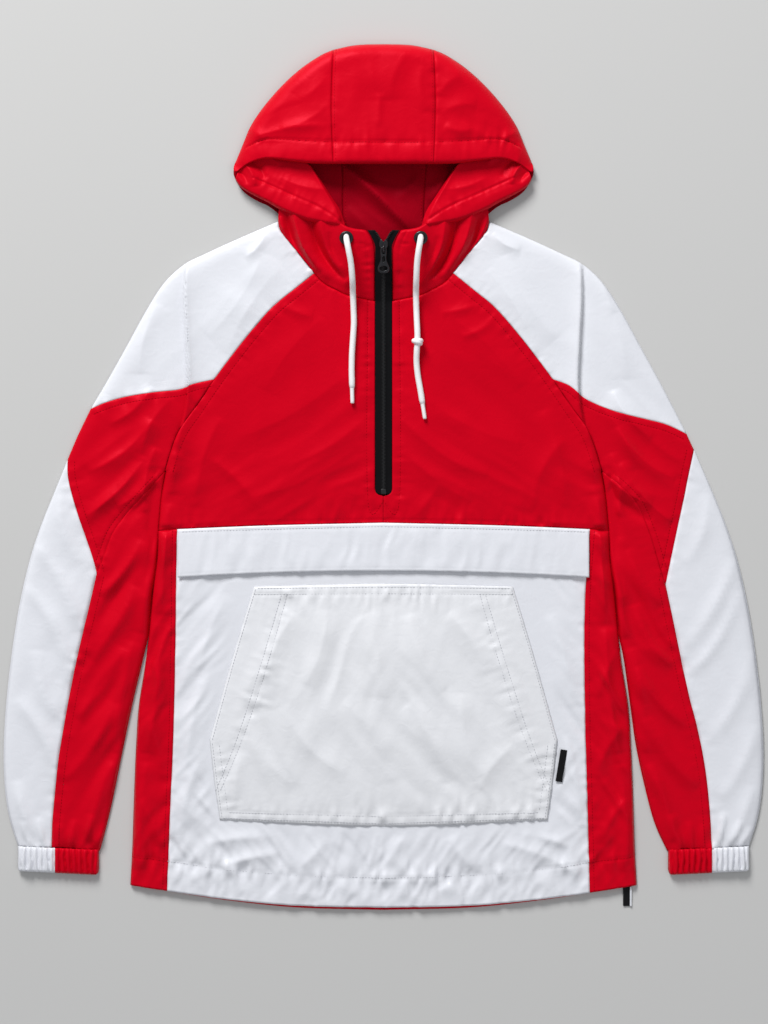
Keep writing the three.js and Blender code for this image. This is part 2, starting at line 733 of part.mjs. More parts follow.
const SLIDER = { y: 246, length: 15, half: 4.2, wall: 3.4 };
const PULL = { pivotY: 243.5, length: 26, half: 3.6, wall: 1.2, bar: 0.6, eyeHalf: 1.7, eyeLength: 4.6 };
const BRIDGE = { half: 1.1, reach: 3.2, wall: 0.8, opening: 2 };

function buildZip() {
  const [bottom, top] = [ZIP_END + 0.5, ZIP_TOP];
  add("zip_tape_left", "black", zipStrip(-ZIP_HALF, -CHAIN_HALF - 0.3, bottom, top, 1));
  add("zip_tape_right", "black", zipStrip(CHAIN_HALF + 0.3, ZIP_HALF, bottom, top, 1));
  add("zip_chain", "black", zipStrip(-CHAIN_HALF, CHAIN_HALF, bottom, top - 1.5, 2));
  const z = zipHeight(SLIDER.y) + 1 + LAYER_GAP + 0.4;
  const y0 = SLIDER.y - SLIDER.length / 2;
  const slope = Math.atan2(zipHeight(y0 + SLIDER.length) - zipHeight(y0), SLIDER.length);
  const body = new THREE.BoxGeometry(SLIDER.half * 2, SLIDER.length, SLIDER.wall);
  body.translate(0, 0, SLIDER.wall / 2);
  const arch = toSolid(new THREE.BoxGeometry(BRIDGE.half * 2, BRIDGE.reach * 2, BRIDGE.opening + BRIDGE.wall + 0.4)
    .translate(0, PULL.pivotY - SLIDER.y, SLIDER.wall + (BRIDGE.opening + BRIDGE.wall) / 2 - 0.2));
  const gap = toSolid(new THREE.BoxGeometry(10, (BRIDGE.reach - BRIDGE.wall) * 2, BRIDGE.opening)
    .translate(0, PULL.pivotY - SLIDER.y, SLIDER.wall + BRIDGE.opening / 2));
  const slider = toGeometry(toSolid(body).add(arch).subtract(gap));
  const pull = toGeometry(pullSolid());
  pull.translate(0, PULL.pivotY - SLIDER.y, SLIDER.wall + BRIDGE.opening / 2);
  for (const [name, geometry] of [["zip_slider", slider], ["zip_pull", pull]]) {
    geometry.rotateX(slope);
    geometry.translate(0, SLIDER.y, z);
    add(name, "metal", toSolid(geometry));
  }
}

// Pull tab about its own bar: an eye round the bridge, then a plate that hangs towards -Y.
function pullSolid() {
  const half = PULL.wall / 2;
  const plate = box(-PULL.half, -PULL.length, -half, PULL.half, PULL.bar, half);
  const eye = box(-PULL.eyeHalf, -PULL.eyeLength, -2, PULL.eyeHalf, -PULL.bar, 2);
  const hole = box(-1.9, -PULL.length + 2.4, -2, 1.9, -PULL.length + 8, 2);
  return plate.subtract(eye).subtract(hole);
}

// ---- Drawcords ----
const CHEST_CORD_Z = LEVEL + CLOTH / 2 + LAYER_GAP + CORD_DIAMETER / 2;
const EYELET_Z = collarHeight(EYELET.x, EYELET_SHARE) + CLOTH / 2 + 1;
const KNOT = { x: 36.5, y: 144, radius: 6.6, half: 5.5 };
const TIP = { length: 17, diameter: 4.6 };
const cordRoutes = {
  left: [
    [-40, 257, EYELET_Z - 0.8], [-39.8, 254.4, EYELET_Z + 3.4], [-39, 249, EYELET_Z + 7.2],
    [-37.4, 241, EYELET_Z + 8], [-35, 228, EYELET_Z + 5.6], [-33.4, 210, EYELET_Z + 0.6],
    [-33, 196, CHEST_CORD_Z + 3.4], [-32.4, 180, CHEST_CORD_Z + 0.5], [-32, 165, CHEST_CORD_Z],
    [-33, 148, CHEST_CORD_Z], [-34, 132, CHEST_CORD_Z], [-34.4, 113, CHEST_CORD_Z],
    [-34.2, 104, CHEST_CORD_Z], [-34, 95, CHEST_CORD_Z],
  ],
  right: [
    [40, 257, EYELET_Z - 0.8], [39.8, 254.4, EYELET_Z + 3.4], [39, 249, EYELET_Z + 7.2],
    [37.6, 241, EYELET_Z + 8], [36, 228, EYELET_Z + 5.6], [35.2, 210, EYELET_Z + 0.6],
    [35, 196, CHEST_CORD_Z + 4], [35.4, 180, CHEST_CORD_Z + 1.6], [36, 165, CHEST_CORD_Z + 2.4],
    [36.5, 154, CHEST_CORD_Z + 3.4], [36.5, 144, CHEST_CORD_Z + 3.6], [35.8, 134, CHEST_CORD_Z + 3.2],
    [35.6, 122, CHEST_CORD_Z + 1], [37, 108, CHEST_CORD_Z], [39.8, 92, CHEST_CORD_Z],
    [42, 78, CHEST_CORD_Z],
  ],
};

function buildCords() {
  for (const { name } of sides) {
    const route = cordRoutes[name];
    add(`drawcord_${name}`, "cord", tube(route, CORD_DIAMETER, 8, CORD_STEPS));
    const end = new THREE.Vector3(...route.at(-1));
    const along = end.clone().sub(new THREE.Vector3(...route.at(-2))).normalize();
    const tipRoute = [0.35, TIP.length / 2, TIP.length].map((d) => end.clone().addScaledVector(along, d).toArray());
    add(`cord_tip_${name}`, "cord", tube(tipRoute, TIP.diameter, 8, 2));
  }
  const bore = CORD_DIAMETER / 2 + 0.5;
  const { radius, half } = KNOT;
  const profile = [[bore, -half], [radius * 0.75, -half], [radius, 0], [radius * 0.75, half], [bore, half]];
  const knot = toGeometry(ring(profile, [0, 0, 0], 0, 14));
  knot.rotateX(Math.PI / 2);
  knot.translate(KNOT.x, KNOT.y, CHEST_CORD_Z + 3.6);
  add("cord_knot_right", "cord", toSolid(knot));
}

buildBack();
buildChest();
buildLowerFront();
buildSides();
buildFlap();
buildPocket();
sides.forEach(buildSleeve);
sides.forEach(buildCuff);
buildHood();
buildZip();
buildCords();

// The frame's origin is the middle of the underside.
const whole = new THREE.Box3().setFromObject(anorak);
const middle = whole.getCenter(new THREE.Vector3());
anorak.children.forEach((mesh) => mesh.geometry.translate(0, -middle.y, 0));

export default anorak;
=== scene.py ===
"""Hooded anorak pullover laid flat: woven polyester panels, half zip, storm flap, pocket, drawcords.

Tables are in millimetres, seen from above: +X right, +Y towards the hood, +Z up.
"""

import math
from collections import namedtuple

import bmesh
import bpy
import numpy as np
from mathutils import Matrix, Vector


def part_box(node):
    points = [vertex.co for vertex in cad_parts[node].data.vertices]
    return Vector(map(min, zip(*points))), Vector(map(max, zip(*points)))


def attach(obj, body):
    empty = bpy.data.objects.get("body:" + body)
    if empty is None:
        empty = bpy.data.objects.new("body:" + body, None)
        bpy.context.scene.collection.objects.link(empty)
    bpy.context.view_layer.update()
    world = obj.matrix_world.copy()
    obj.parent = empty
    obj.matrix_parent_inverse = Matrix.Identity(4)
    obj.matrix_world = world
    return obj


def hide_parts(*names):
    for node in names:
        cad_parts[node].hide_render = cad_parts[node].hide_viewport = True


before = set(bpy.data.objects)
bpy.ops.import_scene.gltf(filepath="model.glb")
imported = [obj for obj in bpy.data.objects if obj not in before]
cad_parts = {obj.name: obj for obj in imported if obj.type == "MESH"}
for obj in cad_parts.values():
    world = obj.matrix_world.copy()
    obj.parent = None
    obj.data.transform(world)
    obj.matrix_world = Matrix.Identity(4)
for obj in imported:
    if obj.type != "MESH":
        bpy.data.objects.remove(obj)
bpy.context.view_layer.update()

bl_info = {
    "name": "Hooded Anorak",
    "version": (1, 0, 0),
    "blender": (4, 5, 0),
    "location": "View3D > Sidebar > Anorak",
    "description": "Builds the cloth, trims and cords of a hooded anorak laid flat",
    "category": "Object",
}

MM = 0.001
SIDES = (("left", -1), ("right", 1))
TABLE_TOP_Y = 466.8  # upper end of the hood's back in the tables below
SHIFT_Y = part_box("hood_back_middle")[1][1] / MM - TABLE_TOP_Y  # they sit this much lower than the frame

# ---- Sizes and heights, in mm ----
LEVEL = 4.9  # height of the cloth of an upper panel
RIM_LEVEL = 1.5  # where an upper and a lower panel meet at a folded edge
RIM_WIDTH = 12
FLOOR_GAP = 0.15
HEM_WHITE = (-234.0, 220.0)  # the white part of the hem reaches from here to here
SEAM_END = 9.0  # the underarm stitching stops this short of the seams that it meets
LEAST_HEIGHT = 2.6  # an upper panel never sinks below this
ON_PANEL = 1.75  # height of a sewn-on panel above the one below
NECK_Y = 188
COLLAR_TOP_Y = 264
BRIM_LEVEL, BRIM_DROP, BRIM_Y = 27.0, 17.5, 334
HOOD_TOP_Y, HOOD_HALF, CROWN_FALL = 467, 161, 0.35
ZIP_HALF, ZIP_END, ZIP_TOP = 9.2, -20.5, 263
POCKET_TOP_Y, POCKET_BOTTOM_Y = -117, -379
FLAP_TOP_Y, FLAP_BOTTOM_Y, FLAP_END_X = -54, -112, 223  # the body lies flat under the flap
CUFF_LENGTH = 26
CUFF_START, CUFF_SEAM, CUFF_END = 308.0, 355.0, 395.8
CUFF_ROUND, CUFF_TUCK = 3.4, 1.7
RIB_PERIOD = 6.0
TOOTH_PITCH = 1.5  # from one zip tooth to the next on the same side
SLIDER_SLOPE = math.radians(6.19)  # how the slider leans with the collar
PIVOT_Y, PIVOT_Z = 243.04, 24.26  # where the pull swings on the slider's bridge
CORD_DIAMETER = 6.5
HALF_PANEL, CORD_GAP = 0.7, 0.35  # half a solid panel's thickness, and the room left under a cord
EYELET = (40, 255)
KNOT = (36.5, 144)
TIP_LENGTH = 17
LIP_FRONT, LIP_BEHIND, LIP_CORNER = 20.9, 15.5, 8.4  # heights along the turned edge of the hood

# ---- Seams and edges: rows of x, y on the right side; two more columns give the left side ----
EDGES = {
    "neckFront": [(0, 187), (36, 194), (50, 200), (65, 208), (75, 219)],
    "neckSide": [(75, 219), (87, 234), (99, 249), (111, 264), (114, 275)],
    "raglanUpper": [(75, 219), (97, 201), (121, 181), (148, 150), (172, 119), (183, 104)],
    "raglanLower": [(183, 104), (204, 73), (223, 44), (236, 5)],
    "shoulder": [
        (114, 275), (158, 256), (195, 239), (215, 229), (237, 209), (256, 180), (278, 140),
        (304, 92, 297, 106), (328, 45, 317, 72),
    ],
    "upperEdge": [(328, 45, 317, 72), (333, 34, 331, 43), (336, 28, 342, 17)],
    "outerEdge": [
        (336, 28, 342, 17), (357, -20), (371, -55), (383, -92), (394, -140), (402, -190),
        (408, -242), (411, -292), (410, -335), (405, -370), (395, -402),
    ],
    "block": [
        (183, 104), (201, 97, 205, 99), (220, 82, 221, 93), (251, 69, 248, 90),
        (283, 61, 279, 85), (306, 55, 300, 79), (328, 45, 317, 72),
    ],
    "elbowUpper": [
        (336, 28, 342, 17), (331, 6, 341, -4), (325, -24, 333, -34), (318, -56, 323, -64),
        (311, -89, 314, -90), (305, -118, 310, -106),
    ],
    "elbowLower": [
        (305, -118, 310, -106), (314, -161, 319, -145), (321, -195, 329, -187),
        (330, -237, 340, -240), (340, -276, 350, -298), (348, -318, 355, -340),
        (353, -365, 358, -374), (355, -404, 359, -403),
    ],
    "underarm": [
        (236, 5), (259, -14, 262, -24), (276, -34, 277, -40), (288, -62, 293, -62),
        (296, -88, 303, -88), (305, -118, 310, -106),
    ],
    "sideUpper": [(236, 5), (241, -25), (244, -60)],
    "sideMiddle": [(244, -60), (245, -90), (250, -128), (254, -172)],
    "sideLower": [
        (254, -172), (258, -205), (265, -250), (268, -296), (270, -345), (272, -405), (274, -443),
    ],
    "innerEdge": [
        (254, -172), (260, -200, 260, -198), (267, -250, 271, -244), (273, -292, 282, -296),
        (282, -334, 293, -350), (293, -375, 302, -388), (307, -406),
    ],
    "cuffInner": [(307, -406), (355, -404, 359, -403)],
    "cuffOuter": [(355, -404, 359, -403), (395, -402)],
    "chestInner": [(0, -51), (126, -54), (223, -58)],
    "chestOuter": [(223, -58), (244, -60)],
    "stripe": [
        (223, -58), (219, -113, 224, -113), (217, -178, 225, -188), (218, -264, 227, -280),
        (220, -340, 230, -350), (223, -451, 234, -449),
    ],
    "hemMiddle": [(0, -467), (93, -465), (170, -458), (223, -451, 234, -449)],
    "hemSide": [(223, -451, 234, -449), (274, -443)],
    "hemBack": [(0, -470), (93, -467.5), (170, -459.5), (232, -450), (274, -443)],
    "collarTop": [(19, 264), (40, 268), (62, 284), (88, 294), (113, 289)],
    "collarEnd": [(114, 275), (113, 289)],
    "brimSide": [(54, 334), (78, 335), (102, 338), (124, 341), (138, 339), (150, 334), (158, 328)],
    "brimMiddle": [(0, 334), (54, 334)],
    "crownSeam": [(54, 334), (56, 400), (54, 461)],
    "crownTop": [(0, 467), (30, 466), (54, 461)],
    "crownEdge": [
        (54, 461), (68, 455), (89, 441), (110, 422), (130, 399), (144, 378), (152, 359), (161, 337),
    ],
    "crownCorner": [(158, 328), (162, 329), (161, 337)],
    "lipEdge": [
        (40, 266), (73, 272), (88, 276), (112, 287), (124, 294), (145, 305), (156, 313), (160, 320),
    ],
    "lipRidge": [(40, 266), (46, 285), (58, 304), (76, 332)],
    "lipHidden": [(76, 332), (100, 346), (128, 350), (148, 342)],
    "lipCorner": [(160, 320), (156, 330), (148, 342)],
    "hoodBackSeam": [(43, 213), (44, 290), (46, 340), (54, 461)],
    "hoodNeckMiddle": [(0, 210), (43, 213)],
    "hoodNeckSide": [(43, 213), (75, 219)],
    "hoodBackEdge": [(161, 337), (162, 325), (152, 308), (136, 297), (114, 287), (114, 275)],
    # Lines of stitching that follow no seam.
    "placket": [(17, 190), (17, -26), (0, -27.5)],
    "placketCollar": [(17, 190), (17, 238), (19, 250), (25, 262)],
    "hemStitch": [(0, -435), (93, -432.5), (170, -426), (224, -418, 234, -417), (272, -412)],
    "casing": [(0, 357.5), (54, 358), (90, 360), (126, 362), (148, 354)],
    "lipCasing": [(39, 269), (70, 289), (92, 299), (118, 311), (140, 321)],
    "eyeletStitch": [(20, 249), (31, 249)],
    "pocketTop": [(0, -120.5), (139, -122)],
    "pocketTopInner": [(0, -127.5), (140, -128.5)],
    "pocketSlant": [(138, -122), (161.5, -201), (185, -286)],
    "pocketSlantInner": [(104, -128), (126, -206), (153, -286), (177, -342)],
    "pocketSlantDouble": [(110, -128), (133, -206), (159, -286), (181.5, -341)],
    "pocketLower": [(185, -288), (180, -330), (174.5, -370)],
    "pocketLowerInner": [(177.5, -290), (172.5, -330), (168, -364)],
    "pocketBottom": [(0, -376), (174.5, -370)],
    "pocketBottomInner": [(0, -368.5), (168, -364)],
    "flapTop": [(0, -55), (126, -58), (220, -61)],
    "flapBottom": [(0, -100.5), (110, -102), (220, -107)],
}
SHOULDER_CREASE = [(214, 230), (214.5, 190), (212, 140), (211, 96), (216, 60), (226, 28)]
POCKET_SIDE = [(140, -120), (164, -200), (188, -286), (183, -330), (177, -372)]
FLAP = {"half": 222, "topMiddle": -52, "topSide": -58.6, "bottomMiddle": -103, "bottomSide": -110}

# ---- Creases, each a soft ridge (or a valley, where height is negative) from one end to the other ----
# bow is how far its middle swings out to the left of its way.
Fold = namedtuple("Fold", "x0 y0 x1 y1 bow width height")
BODY_FOLDS = [
    Fold(-208, 96, -229, -20, -3, 11, 4.0), Fold(208, 92, 229, -20, 3, 11, 5.6),
    Fold(-232, -30, -241, -150, 0, 10, 4.2), Fold(230, -10, 240, -160, 0, 10, 5.4),
    Fold(-241, -160, -256, -300, 4, 10, 3.4), Fold(240, -165, 255, -300, -4, 10, 5.0),
    Fold(-256, -310, -262, -425, -3, 9, 3.2), Fold(255, -312, 262, -428, 3, 9, 3.2),
    Fold(20, 62, 112, 0, -8, 9, 1.9), Fold(22, 28, 96, -28, -5, 9, 1.6),
    Fold(30, 98, 150, 34, -10, 16, 1.3), Fold(70, 172, 150, 96, 7, 16, 1.2),
    Fold(-20, 62, -112, 8, 7, 9, 1.3), Fold(-24, 34, -142, -24, 8, 11, 1.2),
    Fold(-40, 110, -160, 40, 8, 17, 1.1), Fold(-66, 170, -128, 92, -6, 16, 1.1),
    Fold(104, 186, 62, 176, 2, 6, 1.5), Fold(118, 168, 84, 150, 3, 7, 1.3),
    Fold(-108, 184, -76, 172, -2, 7, 1.2), Fold(172, 70, 196, -34, 6, 10, 2.0),
    Fold(-176, 62, -204, -34, -6, 10, 2.0), Fold(196, 40, 160, -38, -8, 10, 1.7),
    Fold(-190, 20, -130, -42, 6, 9, 1.5), Fold(60, -8, 30, -46, 3, 7, 1.0),
    Fold(-212, -440, -110, -408, 6, 8, 1.9), Fold(-196, -400, -120, -392, 4, 7, 1.5),
    Fold(-222, -398, -196, -300, 4, 9, 1.8), Fold(-214, -330, -196, -220, 3, 9, 1.6),
    Fold(216, -436, 128, -398, -6, 8, 2.0), Fold(206, -404, 150, -388, -3, 7, 1.5),
    Fold(212, -380, 196, -280, -4, 9, 1.8), Fold(204, -250, 180, -150, -4, 9, 1.5),
    Fold(-200, -210, -170, -130, 3, 9, 1.5), Fold(-60, -392, -96, -426, 3, 8, 1.6),
    Fold(20, -392, -6, -428, 2, 8, 1.4), Fold(72, -390, 98, -424, -3, 8, 1.6),
    Fold(-250, -200, -236, -250, 2, 6, 1.8), Fold(-254, -260, -240, -330, 3, 7, 1.8),
    Fold(-262, -350, -242, -400, 3, 6, 1.8), Fold(252, -190, 232, -240, -3, 7, 1.8),
    Fold(258, -270, 232, -320, -3, 7, 1.9), Fold(262, -350, 236, -398, -4, 6, 1.9),
]
SLEEVE_FOLDS = [
    Fold(-130, 240, -190, 150, 6, 20, 1.5), Fold(-110, 226, -170, 132, -6, 14, 1.0),
    Fold(-128, 262, -150, 236, 4, 6, 1.6), Fold(-244, 186, -264, 110, -5, 14, 1.4),
    Fold(-228, 84, -262, 16, -8, 10, 2.4), Fold(-240, 226, -256, 190, 3, 8, 1.4),
    Fold(132, 238, 186, 148, -6, 20, 1.5), Fold(112, 222, 168, 128, 6, 14, 1.0),
    Fold(118, 262, 148, 244, -4, 6, 1.6), Fold(240, 188, 262, 104, 5, 14, 1.4),
    Fold(232, 76, 270, 6, 8, 10, 2.4), Fold(236, 224, 250, 176, -3, 7, 1.6),
    Fold(-250, 60, -320, 4, 8, 9, 3.2), Fold(-258, 20, -322, -44, 6, 9, 3.4),
    Fold(-246, 30, -258, -40, -5, 8, 3.0), Fold(252, 52, 316, -4, -8, 9, 3.2),
    Fold(256, 14, 312, -50, -6, 9, 3.4), Fold(246, 24, 254, -44, 5, 8, 3.0),
    Fold(-240, 6, -288, -34, 4, 8, 2.4), Fold(-246, -10, -288, -50, 4, 7, -2.6),
    Fold(238, 2, 290, -32, -4, 8, 2.4), Fold(243, -14, 290, -50, -4, 7, -2.8),
    Fold(-250, 96, -296, 56, 6, 8, 2.6), Fold(248, 92, 290, 40, -6, 8, 2.6),
    Fold(-252, -60, -262, -170, 3, 9, 4.0), Fold(252, -66, 262, -176, -3, 9, 4.0),
    Fold(-270, -180, -290, -300, -3, 10, 3.4), Fold(268, -186, 284, -300, 3, 10, 3.4),
    Fold(-292, -310, -318, -396, -4, 8, 3.2), Fold(286, -312, 312, -396, 4, 8, 3.2),
    Fold(-262, -70, -306, -130, 5, 8, 3.6), Fold(-268, -120, -318, -196, 6, 9, 3.8),
    Fold(-282, -186, -332, -262, 6, 8, 3.2), Fold(-290, -246, -344, -330, 5, 9, 3.4),
    Fold(264, -80, 300, -140, -5, 8, 3.6), Fold(270, -140, 312, -206, -6, 9, 3.8),
    Fold(276, -206, 326, -270, -6, 8, 3.4), Fold(284, -262, 340, -336, -5, 9, 3.6),
    Fold(-350, -20, -326, -96, -8, 9, 1.8), Fold(-376, -76, -330, -170, 8, 9, 2.4),
    Fold(-386, -120, -338, -222, 9, 8, 2.4), Fold(-372, -190, -352, -262, -8, 8, 2.0),
    Fold(-398, -240, -352, -330, 8, 9, 2.4), Fold(-396, -330, -374, -396, -4, 8, 2.2),
    Fold(350, -20, 326, -96, 8, 9, 1.4), Fold(378, -90, 322, -190, 8, 9, 2.0),
    Fold(384, -126, 328, -218, 8, 6, 1.6), Fold(398, -190, 350, -290, 9, 10, 1.7),
    Fold(402, -270, 364, -350, 6, 9, 1.7), Fold(398, -336, 372, -396, 4, 8, 1.7),
    Fold(246, 10, 258, -130, -3, 6, -4.0), Fold(-246, 10, -258, -130, 3, 6, -4.0),
    Fold(-326, -402, -316, -366, -2, 4, 2.4), Fold(-338, -402, -334, -372, 1, 3.6, 2.2),
    Fold(-351, -402, -350, -376, 0, 4, 2.4), Fold(-365, -402, -372, -370, 2, 4, 2.2),
    Fold(-379, -402, -390, -374, 2, 3.6, 2.0), Fold(-313, -402, -300, -376, -2, 3.6, 2.0),
    Fold(322, -404, 312, -366, 2, 4, 2.4), Fold(333, -404, 330, -374, -1, 3.6, 2.2),
    Fold(345, -404, 346, -376, 0, 4, 2.4), Fold(358, -403, 368, -364, -2, 4, 2.4),
    Fold(371, -402, 386, -372, -2, 3.6, 2.0), Fold(384, -401, 396, -380, -2, 3.6, 1.8),
]
COLLAR_FOLDS = [
    Fold(-97, 294, -60, 208, -9, 8, 4.6), Fold(-106, 286, -70, 214, -8, 4, -5.0),
    Fold(-80, 284, -40, 210, -9, 4.5, -7.0), Fold(-68, 288, -34, 204, -10, 7, 3.6),
    Fold(-58, 262, -46, 226, -3, 4, -1.8), Fold(-112, 280, -92, 240, -3, 4, 2.0),
    Fold(96, 292, 62, 210, 8, 8, 4.6), Fold(106, 282, 76, 218, 6, 4, -5.0),
    Fold(78, 282, 47, 210, 9, 4.5, -6.8), Fold(66, 286, 38, 204, 9, 7, 3.4),
    Fold(58, 258, 44, 222, 3, 4, -1.8), Fold(112, 280, 94, 242, 3, 4, 2.0),
]
CROWN_FOLDS = [
    Fold(-58, 400, -112, 374, 6, 14, 1.8), Fold(-60, 376, -146, 362, -4, 7, 1.6),
    Fold(-62, 430, -92, 404, 4, 12, 1.1), Fold(-38, 458, -8, 404, 8, 14, 1.6),
    Fold(30, 458, 8, 404, -7, 14, 1.5), Fold(-4, 410, -6, 374, 0, 5, 1.4),
    Fold(42, 440, 48, 392, -6, 10, 1.3), Fold(60, 408, 84, 430, 4, 9, 1.3),
    Fold(62, 388, 100, 398, 5, 8, 1.4), Fold(66, 376, 96, 372, -4, 7, 1.5),
    Fold(150, 372, 128, 360, -2, 6, 1.5), Fold(-152, 374, -128, 360, 3, 6, 1.4),
]
HOOD_BACK_FOLDS = [
    Fold(-52, 342, 36, 258, 3, 8, 8.0), Fold(-24, 352, 48, 282, 4, 6, -2.2),
    Fold(40, 330, 14, 300, 3, 9, 2.4), Fold(-40, 290, -8, 250, 4, 8, 2.6),
    Fold(-74, 330, -50, 290, -3, 8, 3.0), Fold(70, 336, 50, 296, 3, 8, 3.0),
]
LIP_FOLDS = [
    Fold(-60, 308, -112, 322, 4, 7, 1.6), Fold(-152, 338, -138, 312, 3, 4, 2.6),
    Fold(-144, 342, -128, 320, 3, 4, -2.4), Fold(-158, 330, -147, 314, 2, 3, -1.8),
    Fold(-134, 346, -112, 334, 3, 5, 1.6), Fold(64, 308, 112, 322, -4, 7, 1.6),
    Fold(152, 338, 138, 314, -3, 4, 2.6), Fold(144, 344, 128, 322, -3, 4, -2.4),
    Fold(158, 330, 147, 315, -2, 3, -1.8), Fold(134, 348, 112, 336, -3, 5, 1.6),
]
POCKET_FOLDS = [
    Fold(-96, -150, -136, -250, -8, 15, 2.2), Fold(-62, -146, -84, -226, 6, 13, 1.8),
    Fold(-20, -150, -6, -240, 7, 17, 2.2), Fold(28, -150, 66, -232, -7, 14, 2.0),
    Fold(70, -150, 112, -214, 6, 12, 1.8), Fold(108, -176, 146, -268, 7, 11, 1.9),
    Fold(-150, -262, -96, -336, -8, 13, 1.8), Fold(-108, -250, -40, -322, -10, 15, 1.8),
    Fold(-44, -244, 10, -330, 8, 16, 2.0), Fold(26, -246, 66, -332, 7, 14, 2.0),
    Fold(84, -236, 104, -326, -6, 13, 1.8), Fold(142, -292, 104, -340, -6, 10, 1.6),
    Fold(-152, -300, -160, -350, -3, 8, 1.4), Fold(150, -262, 172, -340, 4, 8, 1.4),
]

# ---- Fields of small irregular creases ----
# angle is their way in degrees, length and width the size of one crease along and across that way.
Field = namedtuple("Field", "x y reach_x reach_y angle length width height seed")
BODY_FIELDS = [
    Field(90, 60, 110, 120, -38, 140, 30, 1.0, 11), Field(-90, 60, 110, 120, 218, 140, 30, 0.9, 12),
    Field(120, -10, 110, 40, -30, 80, 15, 0.9, 13), Field(-120, -10, 110, 40, 210, 80, 15, 0.9, 14),
    Field(-200, -250, 34, 170, 52, 60, 11, 1.3, 15), Field(200, -250, 34, 170, 124, 60, 11, 1.3, 16),
    Field(-140, -408, 120, 30, 126, 52, 9, 1.1, 17), Field(140, -408, 120, 30, 54, 52, 9, 1.1, 18),
    Field(0, -408, 90, 28, 76, 42, 9, 1.1, 19), Field(-205, -370, 30, 60, 130, 60, 12, 1.4, 23),
    Field(205, -370, 30, 60, 50, 60, 12, 1.4, 24), Field(0, -452, 230, 22, 62, 26, 9, 1.2, 25),
    Field(-252, -250, 26, 220, 62, 46, 13, 2.0, 20), Field(250, -250, 26, 220, 118, 46, 13, 2.0, 21),
    Field(0, 90, 120, 160, 90, 160, 40, 1.1, 22),
]
SLEEVE_FIELDS = [
    Field(-180, 190, 90, 80, 232, 140, 34, 0.5, 31), Field(180, 190, 90, 80, 308, 140, 34, 0.5, 32),
    Field(-285, 30, 70, 80, 222, 100, 24, 0.9, 33), Field(285, 25, 70, 80, 318, 100, 24, 0.9, 34),
    Field(-290, -240, 44, 170, 236, 90, 15, 1.9, 35), Field(288, -240, 44, 170, 304, 90, 15, 1.9, 36),
    Field(-366, -200, 34, 210, 58, 170, 22, 0.6, 37), Field(366, -200, 34, 210, 122, 170, 22, 0.6, 38),
]
CROWN_FIELDS = [
    Field(0, 410, 60, 60, 80, 80, 22, 0.6, 41), Field(-100, 390, 60, 50, 24, 80, 20, 0.6, 42),
    Field(100, 390, 60, 50, 156, 80, 20, 0.6, 43),
]
COLLAR_FIELDS = [
    Field(-70, 244, 44, 40, 305, 60, 14, 0.6, 51), Field(70, 244, 44, 40, 235, 60, 14, 0.6, 52),
]
POCKET_FIELDS = [
    Field(0, -250, 170, 120, 112, 110, 26, 1.3, 61), Field(-60, -220, 120, 90, 70, 80, 18, 0.9, 62),
    Field(80, -290, 110, 90, 130, 70, 16, 0.9, 63),
]
FLAP_FIELDS = [Field(0, -80, 230, 30, 84, 40, 12, 0.9, 71)]
HOOD_BACK_FIELDS = [Field(0, 300, 80, 60, 140, 60, 14, 1.5, 81)]
LIP_FIELDS = [
    Field(-110, 312, 60, 40, 150, 60, 14, 0.5, 91), Field(110, 312, 60, 40, 30, 60, 14, 0.5, 92),
]

# ---- Seams and stitch lines: a groove, and puckers across it of uneven length and depth ----
# shift moves the line sideways; thread is the colour of its stitches, or None for a groove alone.
Line = namedtuple("Line", "edges shift groove pucker wave reach thread")
BODY_LINES = [
    Line("raglanUpper raglanLower", 0, 0.6, 0.45, 9, 6, None),
    Line("raglanUpper raglanLower", -8.6, 0.35, 0.5, 8, 7, "red"),
    Line("neckFront", 0, 0.9, 0.5, 9, 7, None), Line("placket", 0, 0.6, 0.6, 9, 7, "red"),
    Line("chestInner", 3.2, 0.7, 1.2, 9, 13, None), Line("stripe", 0, 0.5, 0.5, 11, 7, None),
    Line("stripe", 5, 0.25, 0.4, 10, 6, "red"), Line("hemStitch", 0, 0.9, 2.0, 10, 14, "hem"),
    Line("sideUpper sideMiddle sideLower", 9, 0.3, 0.6, 16, 10, None),
]
SLEEVE_LINES = [
    Line("raglanUpper raglanLower", 0, 0.6, 0.45, 9, 6, None),
    Line("neckSide", 0, 1.0, 0.6, 9, 7, None), Line("block", 0, 0.5, 0.5, 10, 7, None),
    Line("block", -6.5, 0.25, 0.4, 9, 6, "red"), Line("elbowUpper elbowLower", 0, 0.5, 0.6, 12, 8, None),
    Line("elbowUpper", -8, 0.25, 0.4, 11, 6, "red"), Line("elbowLower", -8, 0.25, 0.4, 11, 6, "red"),
    Line("underarm", 0, 0.5, 0.6, 10, 7, None), Line("underarm", 6, 0.25, 0.4, 9, 6, "red"),
    Line("cuffInner cuffOuter", 0, 0.3, 1.7, 9, 17, None),
]
CROWN_LINES = [
    Line("crownSeam", 0, 0.8, 0.4, 11, 6, None), Line("crownSeam", 3, 0.5, 0.3, 11, 6, "red"),
    Line("casing", 0, 1.0, 0.9, 9, 9, "red"), Line("brimMiddle brimSide", 0, 0.2, 0.8, 9, 12, None),
]
COLLAR_LINES = [
    Line("placketCollar", 0, 0.6, 0.6, 8, 6, None), Line("eyeletStitch", 0, 0.6, 0.4, 7, 5, None),
    Line("neckFront neckSide", 0, 0.9, 0.5, 9, 7, None), Line("neckFront", 4, 0.4, 0.4, 8, 6, None),
]
LIP_LINES = [Line("lipCasing", 0, 1.1, 0.9, 8, 8, None)]
